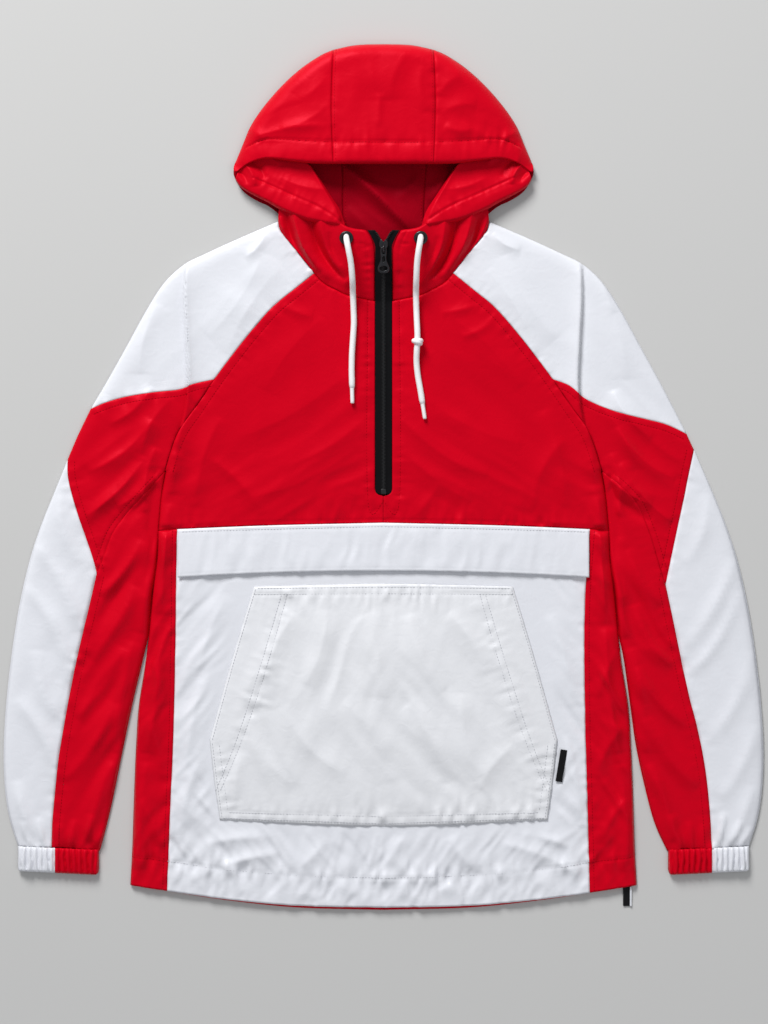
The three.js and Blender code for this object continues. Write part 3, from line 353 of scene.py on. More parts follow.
HOOD_BACK_LINES = [
    Line("hoodBackSeam", 0, 0.7, 0.3, 12, 6, None), Line("hoodBackSeam", 3, 0.4, 0.3, 12, 5, "red"),
]
POCKET_LINES = [
    Line("pocketTop", 0, 0.6, 0.5, 7, 4, "white"), Line("pocketTopInner", 0, 0.9, 1.3, 8, 12, "white"),
    Line("pocketSlant", 0, 0.5, 0.3, 9, 5, "white"),
    Line("pocketSlantInner", 0, 0.7, 1.0, 10, 10, "white"),
    Line("pocketSlantDouble", 0, 0.5, 0.4, 10, 6, "white"),
    Line("pocketLower", 0, 0.5, 0.6, 8, 5, "white"),
    Line("pocketLowerInner", 0, 0.7, 1.0, 8, 7, "white"),
    Line("pocketBottom", 0, 0.5, 0.7, 7, 5, "white"),
    Line("pocketBottomInner", 0, 0.8, 1.7, 8, 11, "white"),
]
FLAP_LINES = [
    Line("flapTop", 0, 0.5, 0.35, 9, 6, "white"), Line("flapBottom", 0, 0.35, 0.4, 12, 8, None),
]


# ---- Curves ----
def spline(rows, step=4.0):
    """Points a step apart on a smooth curve through the rows."""
    rows = np.asarray(rows, float)
    if len(rows) > 2:
        padded = np.vstack([rows[0], rows, rows[-1]])
        t = np.linspace(0, 1, 24, endpoint=False)[:, None]
        parts = []
        for i in range(len(rows) - 1):
            a, b, c, d = padded[i : i + 4]
            v0, v1 = (c - a) / 2, (d - b) / 2
            square = (-3 * b + 3 * c - 2 * v0 - v1) * t**2
            parts.append((2 * b - 2 * c + v0 + v1) * t**3 + square + v0 * t + b)
        rows = np.vstack([*parts, rows[-1:]])
    count = max(1, math.ceil(lengths(rows)[-1] / step))
    return resample(rows, count)


def lengths(points):
    """How far along the path each of its points lies."""
    steps = np.hypot(*np.diff(points[:, :2], axis=0).T)
    return np.concatenate([[0], np.cumsum(steps)])


def resample(points, count):
    """The path again, with its points at even steps."""
    along = lengths(points)
    places = np.linspace(0, along[-1], count + 1)
    return np.stack([np.interp(places, along, column) for column in points.T], axis=1)


def edge(name, side):
    """A named edge on the right (1) or the left (-1)."""
    rows = [(r[0], r[1]) if side > 0 or len(r) == 2 else (r[2], r[3]) for r in EDGES[name]]
    return spline([(side * x, y) for x, y in rows])


def run(side, names):
    """Several named edges joined end to end."""
    parts = [edge(name, side) for name in names.split()]
    return np.vstack([parts[0], *[p[1:] for p in parts[1:]]])


def mirrored(rows, side):
    return spline([(side * x, y) for x, y in rows])


def offset(path, shift):
    """The path moved sideways: to the left of its way where shift is above 0."""
    way = np.gradient(path, axis=0)
    way /= np.maximum(np.hypot(way[:, 0], way[:, 1]), 1e-9)[:, None]
    return path + shift * np.stack([-way[:, 1], way[:, 0]], axis=1)


def nearest(x, y, path):
    """Distance from each point to a path, and how far along the path that is."""
    best = np.full(x.shape, 1e9)
    along = np.zeros(x.shape)
    start = 0.0
    for (ax, ay), (bx, by) in zip(path[:-1], path[1:]):
        sx, sy = bx - ax, by - ay
        size = math.hypot(sx, sy)
        if size < 1e-9:
            continue
        t = np.clip(((x - ax) * sx + (y - ay) * sy) / size**2, 0, 1)
        d = np.hypot(x - ax - t * sx, y - ay - t * sy)
        closer = d < best
        best = np.where(closer, d, best)
        along = np.where(closer, start + t * size, along)
        start += size
    return best, along


def inside(x, y, outline):
    """True where a point lies inside a closed outline."""
    found = np.zeros(x.shape, bool)
    for (ax, ay), (bx, by) in zip(outline, np.roll(outline, -1, axis=0)):
        crosses = (ay > y) != (by > y)
        found ^= crosses & (x < (bx - ax) * (y - ay) / (by - ay + 1e-12) + ax)
    return found


# ---- Relief of the cloth ----
NOISE_ROWS, NOISE_COLUMNS = 61, 67


def noise(u, v, seed):
    """Smooth uneven values from -1 to 1 on a grid of unit cells."""
    table = np.random.RandomState(seed).uniform(-1, 1, (NOISE_ROWS, NOISE_COLUMNS))
    iu, iv = np.floor(u).astype(int), np.floor(v).astype(int)
    fu, fv = u - iu, v - iv
    su, sv = fu * fu * (3 - 2 * fu), fv * fv * (3 - 2 * fv)
    row, next_row = iu % NOISE_ROWS, (iu + 1) % NOISE_ROWS
    column, next_column = iv % NOISE_COLUMNS, (iv + 1) % NOISE_COLUMNS
    a, b = table[row, column], table[next_row, column]
    c, d = table[row, next_column], table[next_row, next_column]
    return a + (b - a) * su + (c - a) * sv + (a - b - c + d) * su * sv


def ease(low, high, value):
    t = np.clip((value - low) / (high - low), 0, 1)
    return t * t * (3 - 2 * t)


def add_fold(z, x, y, fold, strength):
    """A crease that fades towards its ends, steeper on one side, with a wavering crest."""
    span = math.hypot(fold.x1 - fold.x0, fold.y1 - fold.y0)
    t = np.linspace(0, 1, 9)
    path = np.stack([fold.x0 + (fold.x1 - fold.x0) * t, fold.y0 + (fold.y1 - fold.y0) * t], axis=1)
    out = np.array([-(fold.y1 - fold.y0), fold.x1 - fold.x0]) / span
    path += out * (fold.bow * 4 * t * (1 - t))[:, None]
    reach = 3 * fold.width
    low, high = path.min(axis=0) - reach, path.max(axis=0) + reach
    near = (x > low[0]) & (x < high[0]) & (y > low[1]) & (y < high[1])
    if not near.any():
        return
    px, py = x[near], y[near]
    d, along = nearest(px, py, path)
    total = lengths(path)[-1]
    fade = np.sin(np.pi * np.clip(along / total, 0, 1)) ** 0.6
    seed = int(abs(fold.x0 * 7 + fold.y0 * 3 + fold.x1)) % 997
    waver = 1 + 0.35 * noise(along / 21, along * 0 + 0.5, seed)
    width = fold.width * (1 + 0.3 * noise(along / 30, along * 0 + 3.5, seed))
    steep = d / width
    crest = 0.55 * np.exp(-steep * steep) + 0.45 * np.exp(-2.2 * steep)
    z[near] += strength * fold.height * fade * waver * crest


def add_field(z, x, y, field, strength):
    """Small creases that run one way, sharp along the crest and flat between."""
    dx, dy = x - field.x, y - field.y
    far = (dx / field.reach_x) ** 2 + (dy / field.reach_y) ** 2
    near = far < 5
    if not near.any():
        return
    turn = math.radians(field.angle)
    u = dx[near] * math.cos(turn) + dy[near] * math.sin(turn)
    v = -dx[near] * math.sin(turn) + dy[near] * math.cos(turn)
    v = v + 0.35 * field.width * noise(u / field.length * 1.7, v / field.width / 3, field.seed + 5)
    first = noise(u / field.length, v / field.width, field.seed)
    second = noise(u / field.length * 2.1, v / field.width * 2.2, field.seed + 1)
    sharp = 1 - 2 * np.sqrt(first * first + 0.012)
    height = 0.62 * sharp + 0.5 * first + 0.3 * second
    z[near] += strength * field.height * height * np.exp(-far[near] * 0.9)


def line_path(line, side):
    return offset(run(side, line.edges), line.shift * side)


def add_line(z, x, y, line, side, strength):
    """A seam's groove with its puckers."""
    path = resample(line_path(line, side), max(2, int(lengths(line_path(line, side))[-1] / 11)))
    reach = 3 * line.reach
    low, high = path.min(axis=0) - reach, path.max(axis=0) + reach
    near = (x > low[0]) & (x < high[0]) & (y > low[1]) & (y < high[1])
    if not near.any():
        return
    d, along = nearest(x[near], y[near], path)
    seed = (sum(map(ord, line.edges)) + int(line.shift * 10) + side) % 991
    step = line.wave / 2
    ripple = noise(along / step, d / 14, seed) + 0.5 * noise(along / step * 0.47, d / 20, seed + 2)
    uneven = 0.8 + 0.7 * noise(along / 41, d * 0 + 0.3, seed + 3)
    z[near] += strength * line.pucker * ripple * uneven * np.exp(-d / line.reach)
    z[near] -= line.groove * np.exp(-((d / 1.15) ** 2))


def relief(x, y, folds=(), fields=(), lines=()):
    strength = bpy.context.scene.anorak.fold_strength
    z = np.zeros(x.shape)
    for fold in folds:
        add_fold(z, x, y, fold, strength)
    for field in fields:
        add_field(z, x, y, field, strength)
    for line in lines:
        for side in (-1, 1):
            add_line(z, x, y, line, side, strength)
    return z


def rounded_rim(z, x, y, rim, width=RIM_WIDTH):
    """Turns an upper panel down to the folded edge round a quarter circle."""
    d, _ = nearest(x, y, rim)
    near = 1 - np.clip(d / width, 0, 1)
    return RIM_LEVEL + (z - RIM_LEVEL) * np.sqrt(1 - near * near)


def lower_sheet(x, y, rim):
    """Outer face of the cloth that lies on the surface; it curls up to the folded edge."""
    lift = 0.5 * (1 + noise(x / 46, y / 58, 5)) * 0.5
    if rim is None:
        return FLOOR_GAP + lift
    d, _ = nearest(x, y, rim)
    near = 1 - np.clip(d / 3.0, 0, 1)
    return FLOOR_GAP + lift * (1 - near) + (RIM_LEVEL - FLOOR_GAP) * (1 - np.sqrt(1 - near * near))


def never_below(z, least):
    """Softly keeps the height above a level."""
    return least + np.logaddexp(0, (z - least) * 2.0) / 2.0


def collar_height(x, share):
    rise = np.interp(np.abs(x), [0, 40, 62, 88, 114], [14.5, 15, 11, 8, 3])
    return LEVEL + rise * np.sin(share * math.pi / 2)


def zip_height(y):
    return collar_height(np.zeros_like(y), np.clip((y - NECK_Y) / (COLLAR_TOP_Y - NECK_Y), 0, 1))


# ---- Cloth panels ----
def patch(bottom, right, top, left, cell):
    """A grid of points between four edges; bottom and top run from left to right."""
    wide = max(lengths(bottom)[-1], lengths(top)[-1])
    tall = max(lengths(left)[-1], lengths(right)[-1])
    across, along = max(2, math.ceil(wide / cell)), max(2, math.ceil(tall / cell))
    low, high = resample(bottom, across)[None], resample(top, across)[None]
    start, end = resample(left, along)[:, None], resample(right, along)[:, None]
    u = np.linspace(0, 1, across + 1)[None, :, None]
    v = np.linspace(0, 1, along + 1)[:, None, None]
    corners = (1 - u) * (1 - v) * low[:, :1] + u * (1 - v) * low[:, -1:]
    corners = corners + (1 - u) * v * high[:, :1] + u * v * high[:, -1:]
    grid = (1 - v) * low + v * high + (1 - u) * start + u * end - corners
    return grid, np.broadcast_to(u[..., 0], grid.shape[:2]), np.broadcast_to(v[..., 0], grid.shape[:2])


def blunt(bottom, top, at_end):
    """A short blunt edge where two edges run to a point."""
    ends = []
    for path in (bottom, top):
        path = path[::-1].copy() if at_end else path.copy()
        step = path[1] - path[0]
        path[0] += step / np.hypot(*step) * 0.9
        ends.append(path[::-1] if at_end else path)
    return ends


def close_points(shape):
    """The shape with a short blunt edge at each end that has none."""
    bottom, top, left, right = shape["bottom"], shape["top"], shape.get("left"), shape.get("right")
    if left is None:
        bottom, top = blunt(bottom, top, False)
        left = np.stack([bottom[0], top[0]])
    if right is None:
        bottom, top = blunt(bottom, top, True)
        right = np.stack([bottom[-1], top[-1]])
    return {"bottom": bottom, "top": top, "left": left, "right": right}


def shell(grid, z, outward, cloth):
    """Closed thin cloth from a grid of points and heights of its outer face."""
    outer = np.dstack([grid, z])
    along, across = np.gradient(outer, axis=0), np.gradient(outer, axis=1)
    normal = np.cross(across, along)
    normal /= np.maximum(np.linalg.norm(normal, axis=2), 1e-12)[..., None]
    flipped = normal[..., 2].mean() * outward < 0
    normal = -normal if flipped else normal
    inner = outer - normal * cloth
    rows, cols = z.shape
    at = np.arange(rows * cols).reshape(rows, cols)
    under = at + rows * cols
    quads = np.stack([at[:-1, :-1], at[:-1, 1:], at[1:, 1:], at[1:, :-1]], axis=-1).reshape(-1, 4)
    faces = [quads, quads[:, ::-1] + rows * cols]
    loop = np.concatenate([at[0], at[1:, -1], at[-1, -2::-1], at[-2:0:-1, 0]])
    loop_under = np.concatenate([under[0], under[1:, -1], under[-1, -2::-1], under[-2:0:-1, 0]])
    faces.append(np.stack([loop, loop_under, np.roll(loop_under, -1), np.roll(loop, -1)], axis=1))
    faces = np.vstack(faces)
    return np.vstack([outer.reshape(-1, 3), inner.reshape(-1, 3)]), faces[:, ::-1] if flipped else faces


def make_object(name, parts, material):
    """One mesh object from closed parts, each a pair of points in mm and faces."""
    points, faces, start = [], [], 0
    for part_points, part_faces in parts:
        points.append(np.asarray(part_points, float))
        faces.extend([tuple(int(i) + start for i in face) for face in part_faces])
        start += len(part_points)
    points = np.vstack(points)
    points[:, 1] += SHIFT_Y
    mesh = bpy.data.meshes.new(name)
    mesh.from_pydata((points * MM).tolist(), [], faces)
    mesh.validate()
    mesh.shade_smooth()
    mesh.materials.append(material)
    obj = bpy.data.objects.new(name, mesh)
    bpy.context.scene.collection.objects.link(obj)
    return obj


def cloth_piece(name, parts, material, nodes):
    """A piece of cloth: one object from its parts, attached to the garment, with the model's parts it
    replaces hidden.
    """
    obj = make_object(name, parts, material)
    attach(obj, "garment")
    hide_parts(*nodes)


def front_and_back(name, front, back, height, rim, material, nodes):
    """A flattened tube: an upper and a lower layer that meet at the folded edge."""
    settings = bpy.context.scene.anorak
    cloth, cell = settings.cloth_thickness / MM, settings.cell_size / MM
    grid, u, v = patch(**front, cell=cell)
    top = shell(grid, height(grid[..., 0], grid[..., 1], u, v), 1, cloth)
    below, _, _ = patch(**back, cell=cell * 2.5)
    low = shell(below, lower_sheet(below[..., 0], below[..., 1], rim), -1, cloth)
    cloth_piece(name, [top, low], material, nodes)


def single_panel(name, shapes, height, material, nodes, outward=1, coarse=1.0):
    """One layer of cloth; outward is 1 where its outer face looks up."""
    settings = bpy.context.scene.anorak
    cloth, cell = settings.cloth_thickness / MM, settings.cell_size / MM * coarse
    parts, grids = [], []
    for shape in shapes:
        grid, u, v = patch(**shape, cell=cell)
        parts.append(shell(grid, height(grid[..., 0], grid[..., 1], u, v), outward, cloth))
        grids.append(grid)
    cloth_piece(name, parts, material, nodes)


def flip(path):
    return path[::-1]


def both_sides(name):
    return np.vstack([flip(edge(name, -1)), edge(name, 1)[1:]])


def pocket_side():
    """The pocket's right side: a slanted stretch, a corner, then down to the bottom."""
    return np.vstack([spline(POCKET_SIDE[:3]), spline(POCKET_SIDE[2:])[1:]])


def pocket_outline():
    right = pocket_side()
    left = flip(right * [-1, 1])
    return np.vstack([right, [[0, POCKET_BOTTOM_Y]], left, [[0, POCKET_TOP_Y]]])


def flap_line(middle, side):
    x = np.linspace(-FLAP["half"], FLAP["half"], 61)
    return np.stack([x, middle + (side - middle) * (x / FLAP["half"]) ** 2], axis=1)


def body_height(x, y, _u=None, _v=None):
    """Upper layer of the body; it lies flat below the pocket and the flap."""
    z = relief(x, y, BODY_FOLDS, BODY_FIELDS, BODY_LINES)
    outline = pocket_outline()
    d, _ = nearest(x, y, outline)
    calm = np.where(inside(x, y, outline), 0, ease(0, 13, d))
    calm = np.minimum(calm, ease(0, 9, FLAP_TOP_Y - 4 - y) + ease(FLAP_TOP_Y - 4, FLAP_TOP_Y + 1, y))
    under_flap = (y < FLAP_TOP_Y) & (y > FLAP_BOTTOM_Y) & (np.abs(x) < FLAP_END_X)
    calm = np.where(under_flap, 0, np.clip(calm, 0, 1))
    calm = np.where(y > FLAP_TOP_Y + 4, 1, calm)
    z = never_below(LEVEL + z * calm, LEAST_HEIGHT)
    side = np.where(x > 0, 1, -1)
    for sign in (-1, 1):
        rim = run(sign, "sideUpper sideMiddle sideLower")
        z = np.where(side == sign, rounded_rim(z, x, y, rim, 7), z)
    return z


def shoulder_step(x, y, sign):
    """The cloth of the body overlaps the sleeve along a sharp crease below the shoulder."""
    path = mirrored(SHOULDER_CREASE, sign)
    d, along = nearest(x, y, path)
    share = along / lengths(path)[-1]
    line_x = np.interp(-y, -path[:, 1], np.abs(path[:, 0]))
    beyond = ease(-0.8, 1.2, np.abs(x) - line_x)
    fade = np.sin(math.pi * np.clip(0.1 + 0.9 * share, 0, 1)) ** 0.5
    return fade * ((1 - beyond) * 5.6 * np.exp(-d / 9) - beyond * 2.6 * np.exp(-d / 6))


def sleeve_height(x, y, _u=None, _v=None):
    sign = 1 if x.mean() > 0 else -1
    z = LEVEL + relief(x, y, SLEEVE_FOLDS, SLEEVE_FIELDS, SLEEVE_LINES) + shoulder_step(x, y, sign)
    z = never_below(z, LEAST_HEIGHT)
    inner = flip(run(sign, "sideUpper sideMiddle innerEdge"))
    outer = run(sign, "shoulder upperEdge outerEdge")
    return np.minimum(rounded_rim(z, x, y, inner, 7), rounded_rim(z, x, y, outer, 15))


def flap_height(x, y, _u, v):
    z = LEVEL + ON_PANEL + 1.5 * (1 - v) ** 2 + 0.5 * np.sin(v * math.pi)
    z += relief(x, y, (), FLAP_FIELDS, FLAP_LINES)
    return never_below(z, LEVEL + 1.0)


def pocket_height(x, y, u, v):
    arch_u, arch_v = (np.sin(math.pi * np.clip(share, 0.001, 0.999)) for share in (u, v))
    puff = 3 * (arch_u * arch_v) ** 0.7
    outline = pocket_outline()
    d, _ = nearest(x, y, outline)
    z = relief(x, y, POCKET_FOLDS, POCKET_FIELDS) * ease(4, 26, d) + relief(x, y, (), (), POCKET_LINES)
    edge_drop = 1.1 * (1 - ease(0, 2.4, d))
    return never_below(LEVEL + ON_PANEL + puff + z, LEVEL + 1.2) - edge_drop


def collar_panel_height(x, y, u, v):
    z = collar_height(x, v) + relief(x, y, COLLAR_FOLDS, COLLAR_FIELDS, COLLAR_LINES) * ease(0, 0.16, v)
    at_seam = relief(x, y, (), (), BODY_LINES[:3])
    z = z + at_seam * (1 - ease(0, 0.2, v))
    flat = np.exp(-(((np.abs(x) - EYELET[0]) / 13) ** 2 + ((y - EYELET[1]) / 13) ** 2) ** 2)
    z = z * (1 - flat) + (collar_height(x, v) + 0.4) * flat
    edge_turn = 1.4 * (1 - ease(0, 0.03, u)) + 1.8 * (1 - ease(0, 0.04, 1 - v))
    return never_below(z, 2.4) - edge_turn


def crown_height(x, y, _u=None, _v=None):
    brim = BRIM_LEVEL - BRIM_DROP * (np.abs(x) / HOOD_HALF) ** 2.5
    fall = CROWN_FALL * (y - BRIM_Y) / (HOOD_TOP_Y - BRIM_Y)
    z = brim * (1 - fall)
    band = np.clip((y - BRIM_Y) / 24, 0, 1)
    z = z + 1.1 * np.sin(band * math.pi) + relief(x, y, CROWN_FOLDS, CROWN_FIELDS, CROWN_LINES)
    for sign in (-1, 1):
        rim = run(sign, "crownTop crownEdge")
        z = np.where(np.sign(x + 1e-9) == sign, rounded_rim(z, x, y, rim, 16), z)
    return z


def crown_with_brim(x, y, _u, v):
    """The front edge of the crown rolls under."""
    return crown_height(x, y) - 3.2 * (1 - np.sqrt(1 - (1 - ease(0, 0.04, v)) ** 2 * 0.999))


def lip_height(x, y, u, v):
    """The turned edge of the hood's mouth: a roll along the front, then a hollow face behind it."""
    front = LIP_FRONT + (LIP_CORNER - LIP_FRONT) * u
    behind = LIP_BEHIND + (LIP_CORNER - LIP_BEHIND) * u
    z = front + (behind - front) * v
    foot = ease(0, 0.14, u)
    roll = 1.3 * foot * np.sin(math.pi * np.clip(v / 0.34, 0, 1))
    face = -1.6 * foot * np.sin(math.pi * np.clip((v - 0.34) / 0.66, 0, 1))
    turn = 3.4 * (1 - ease(0, 0.05, v)) + 7.0 * (1 - ease(0, 0.07, u)) ** 2
    return z + roll + face + relief(x, y, LIP_FOLDS, LIP_FIELDS, LIP_LINES) - turn


def hood_back_height(x, y, _u=None, _v=None):
    z = FLOOR_GAP + 0.6 + relief(x, y, HOOD_BACK_FOLDS, HOOD_BACK_FIELDS, HOOD_BACK_LINES)
    z = never_below(z, 0.35)
    for sign in (-1, 1):
        rim = run(sign, "crownTop crownEdge")
        d, _ = nearest(x, y, rim)
        near = 1 - np.clip(d / 4.0, 0, 1)
        curled = z * (1 - near) + RIM_LEVEL * near
        z = np.where(np.sign(x + 1e-9) == sign, curled, z)
    return z


# ---- Materials ----
def new_group(name, inputs, outputs):
    group = bpy.data.node_groups.new(name, "ShaderNodeTree")
    for label, kind, value in inputs:
        socket = group.interface.new_socket(label, in_out="INPUT", socket_type=kind)
        socket.default_value = value
    for label, kind in outputs:
        group.interface.new_socket(label, in_out="OUTPUT", socket_type=kind)
    start = group.nodes.new("NodeGroupInput")
    end = group.nodes.new("NodeGroupOutput")
    return group, start, end


def math_node(nodes, links, operation, first, second):
    node = nodes.new("ShaderNodeMath")
    node.operation = operation
    for socket, value in zip(node.inputs, (first, second)):
        if isinstance(value, (int, float)):
            socket.default_value = value
        else:
            links.new(value, socket)
    return node.outputs[0]


def cloth_group():
    """Woven cloth: threads both ways, uneven dye, and soft wrinkles too small for the mesh."""
    group = bpy.data.node_groups.get("Woven Cloth")
    if group:
        return group
    group, start, end = new_group(
        "Woven Cloth",
        [
            ("Colour", "NodeSocketColor", (0.8, 0.8, 0.8, 1)),
            ("Deep Colour", "NodeSocketColor", (0.6, 0.6, 0.6, 1)),
            ("Thread Size", "NodeSocketFloat", 0.0011),
            ("Roughness", "NodeSocketFloat", 0.4),
            ("Wrinkle", "NodeSocketFloat", 0.5),
        ],
        [("Colour", "NodeSocketColor"), ("Roughness", "NodeSocketFloat"), ("Height", "NodeSocketFloat")],
    )
    nodes, links = group.nodes, group.links
    where = nodes.new("ShaderNodeTexCoord").outputs["Object"]
    pitch = math_node(nodes, links, "DIVIDE", 1.0, start.outputs["Thread Size"])
    threads = []
    for axis in ("X", "Y"):
        wave = nodes.new("ShaderNodeTexWave")
        wave.bands_direction = axis
        wave.inputs["Distortion"].default_value = 0.6
        wave.inputs["Detail"].default_value = 0.0
        wave.inputs["Detail Scale"].default_value = 0.4
        links.new(where, wave.inputs["Vector"])
        links.new(math_node(nodes, links, "MULTIPLY", pitch, 0.314), wave.inputs["Scale"])
        threads.append(wave.outputs["Fac"])
    weave = math_node(nodes, links, "MULTIPLY", threads[0], threads[1])
    cloud = nodes.new("ShaderNodeTexNoise")
    cloud.inputs["Scale"].default_value = 26.0
    cloud.inputs["Detail"].default_value = 4.0
    links.new(where, cloud.inputs["Vector"])
    crease = nodes.new("ShaderNodeTexNoise")
    crease.inputs["Scale"].default_value = 90.0
    crease.inputs["Detail"].default_value = 2.5
    crease.inputs["Distortion"].default_value = 1.2
    links.new(where, crease.inputs["Vector"])
    share = math_node(nodes, links, "MULTIPLY", cloud.outputs["Fac"], 0.9)
    share = math_node(nodes, links, "SUBTRACT", share, 0.2)
    threads_share = math_node(nodes, links, "MULTIPLY", weave, 0.16)
    share = math_node(nodes, links, "ADD", share, threads_share)
    mix = nodes.new("ShaderNodeMix")
    mix.data_type = "RGBA"
    links.new(share, mix.inputs["Factor"])
    links.new(start.outputs["Colour"], mix.inputs["A"])
    links.new(start.outputs["Deep Colour"], mix.inputs["B"])
    links.new(mix.outputs["Result"], end.inputs["Colour"])
    uneven = math_node(nodes, links, "MULTIPLY", cloud.outputs["Fac"], 0.16)
    rough = math_node(nodes, links, "ADD", start.outputs["Roughness"], uneven)
    links.new(math_node(nodes, links, "SUBTRACT", rough, 0.08), end.inputs["Roughness"])
    soft = math_node(nodes, links, "MULTIPLY", crease.outputs["Fac"], start.outputs["Wrinkle"])
    fine = math_node(nodes, links, "MULTIPLY", weave, 0.10)
    links.new(math_node(nodes, links, "ADD", soft, fine), end.inputs["Height"])
    return group


def grain_group():
    """Fine grain for moulded, painted or braided parts, with lighter rubbed spots."""
    group = bpy.data.node_groups.get("Fine Grain")
    if group:
        return group
    group, start, end = new_group(
        "Fine Grain",
        [
            ("Colour", "NodeSocketColor", (0.02, 0.02, 0.02, 1)),
            ("Rubbed Colour", "NodeSocketColor", (0.05, 0.05, 0.05, 1)),
            ("Size", "NodeSocketFloat", 900.0),
            ("Roughness", "NodeSocketFloat", 0.4),
        ],
        [("Colour", "NodeSocketColor"), ("Roughness", "NodeSocketFloat"), ("Height", "NodeSocketFloat")],
    )
    nodes, links = group.nodes, group.links
    where = nodes.new("ShaderNodeTexCoord").outputs["Object"]
    fine = nodes.new("ShaderNodeTexNoise")
    fine.inputs["Detail"].default_value = 3.0
    links.new(where, fine.inputs["Vector"])
    links.new(start.outputs["Size"], fine.inputs["Scale"])
    broad = nodes.new("ShaderNodeTexNoise")
    broad.inputs["Scale"].default_value = 140.0
    links.new(where, broad.inputs["Vector"])
    mix = nodes.new("ShaderNodeMix")
    mix.data_type = "RGBA"
    links.new(broad.outputs["Fac"], mix.inputs["Factor"])
    links.new(start.outputs["Colour"], mix.inputs["A"])
    links.new(start.outputs["Rubbed Colour"], mix.inputs["B"])
    links.new(mix.outputs["Result"], end.inputs["Colour"])
    spread = math_node(nodes, links, "MULTIPLY", fine.outputs["Fac"], 0.2)
    rough = math_node(nodes, links, "ADD", start.outputs["Roughness"], spread)
    links.new(math_node(nodes, links, "SUBTRACT", rough, 0.1), end.inputs["Roughness"])
    links.new(fine.outputs["Fac"], end.inputs["Height"])
    return group


def shader(name, group, values, bump, metallic=0.0, gloss=0.5, tint=(1, 1, 1)):
    """A material whose colour, roughness and height come from a shared group."""
    material = bpy.data.materials.get(name)
    if material:
        return material
    material = bpy.data.materials.new(name)
    material.use_nodes = True
    nodes, links = material.node_tree.nodes, material.node_tree.links
    surface = nodes["Principled BSDF"]
    surface.inputs["Metallic"].default_value = metallic
    surface.inputs["Specular IOR Level"].default_value = gloss
    surface.inputs["Specular Tint"].default_value = rgba(tint)
    texture = nodes.new("ShaderNodeGroup")
    texture.node_tree = group
    for label, value in values.items():
        texture.inputs[label].default_value = value
    links.new(texture.outputs["Colour"], surface.inputs["Base Color"])
    links.new(texture.outputs["Roughness"], surface.inputs["Roughness"])
    height = nodes.new("ShaderNodeBump")
    height.inputs["Strength"].default_value = bump
    height.inputs["Distance"].default_value = 0.001
    links.new(texture.outputs["Height"], height.inputs["Height"])
    links.new(height.outputs["Normal"], surface.inputs["Normal"])
    return material


def rgba(colour, share=1.0):
    return (*[min(1.0, c * share) for c in colour], 1.0)


def cloth_material(name, colour, deep, roughness, wrinkle, gloss=0.14, tint=(1, 1, 1)):
    values = {
        "Colour": rgba(colour), "Deep Colour": rgba(colour, deep), "Thread Size": 0.0012,
        "Roughness": roughness, "Wrinkle": wrinkle,
    }
    return shader(name, cloth_group(), values, bump=0.5, gloss=gloss, tint=tint)


RED_GLEAM = (1.0, 0.05, 0.12)  # red cloth throws red light back, not white


def red_cloth():
    colour = bpy.context.scene.anorak.red_colour
    return cloth_material("Red Woven Polyester", colour, 0.96, 0.4, 0.5, 0.3, RED_GLEAM)


def red_inside_shade_cloth():
    # Painted shade: a darker copy of the red cloth stands in for the shade inside the hood.
    colour = bpy.context.scene.anorak.red_inside_shade_colour
    return cloth_material("Red Woven Inside Painted Shade", colour, 0.9, 0.5, 0.5, 0.2, RED_GLEAM)


def white_cloth():
    colour = bpy.context.scene.anorak.white_colour
    return cloth_material("White Woven Polyester", colour, 0.97, 0.34, 0.5, 0.42)


def pocket_cloth():
    colour = bpy.context.scene.anorak.pocket_colour
    return cloth_material("Pocket Polyester", colour, 0.97, 0.34, 0.6, 0.42)


def grain_material(name, colour, rubbed, roughness, size, bump, metallic=0.0, gloss=0.5):
    values = {
        "Colour": rgba(colour), "Rubbed Colour": rgba(colour, rubbed), "Size": size,
        "Roughness": roughness,
    }
    return shader(name, grain_group(), values, bump, metallic, gloss)


def thread_material(colour_name):
    settings = bpy.context.scene.anorak
    colour = settings.red_colour if colour_name == "red" else settings.white_colour
    # Painted shade: the thread is a darker copy of its cloth's colour, standing in for the shade along the
    # stitch lines.
    share = 0.72 if colour_name == "red" else 0.66
    shade_darkened_colour = [c * share for c in colour]
    return grain_material(f"Thread {colour_name}", shade_darkened_colour, 1.1, 0.85, 3000.0, 0.2, gloss=0.05)


def zip_tape_cloth():
    return cloth_material("Zip Tape", bpy.context.scene.anorak.black_colour, 1.6, 0.7, 0.4, 0.06)


def ribbon_cloth(name, colour, deep):
    return cloth_material(name, colour, deep, 0.5, 0.3)


def black_metal():
    colour = bpy.context.scene.anorak.metal_colour
    return grain_material("Black Enamelled Metal", colour, 2.2, 0.26, 500.0, 0.05, 0.35)


def black_coil():
    return grain_material("Black Zip Teeth", bpy.context.scene.anorak.black_colour, 1.8, 0.42, 900.0, 0.1)


def cord_material():
    return grain_material("Smooth Cord", bpy.context.scene.anorak.cord_colour, 0.95, 0.6, 1500.0, 0.25)


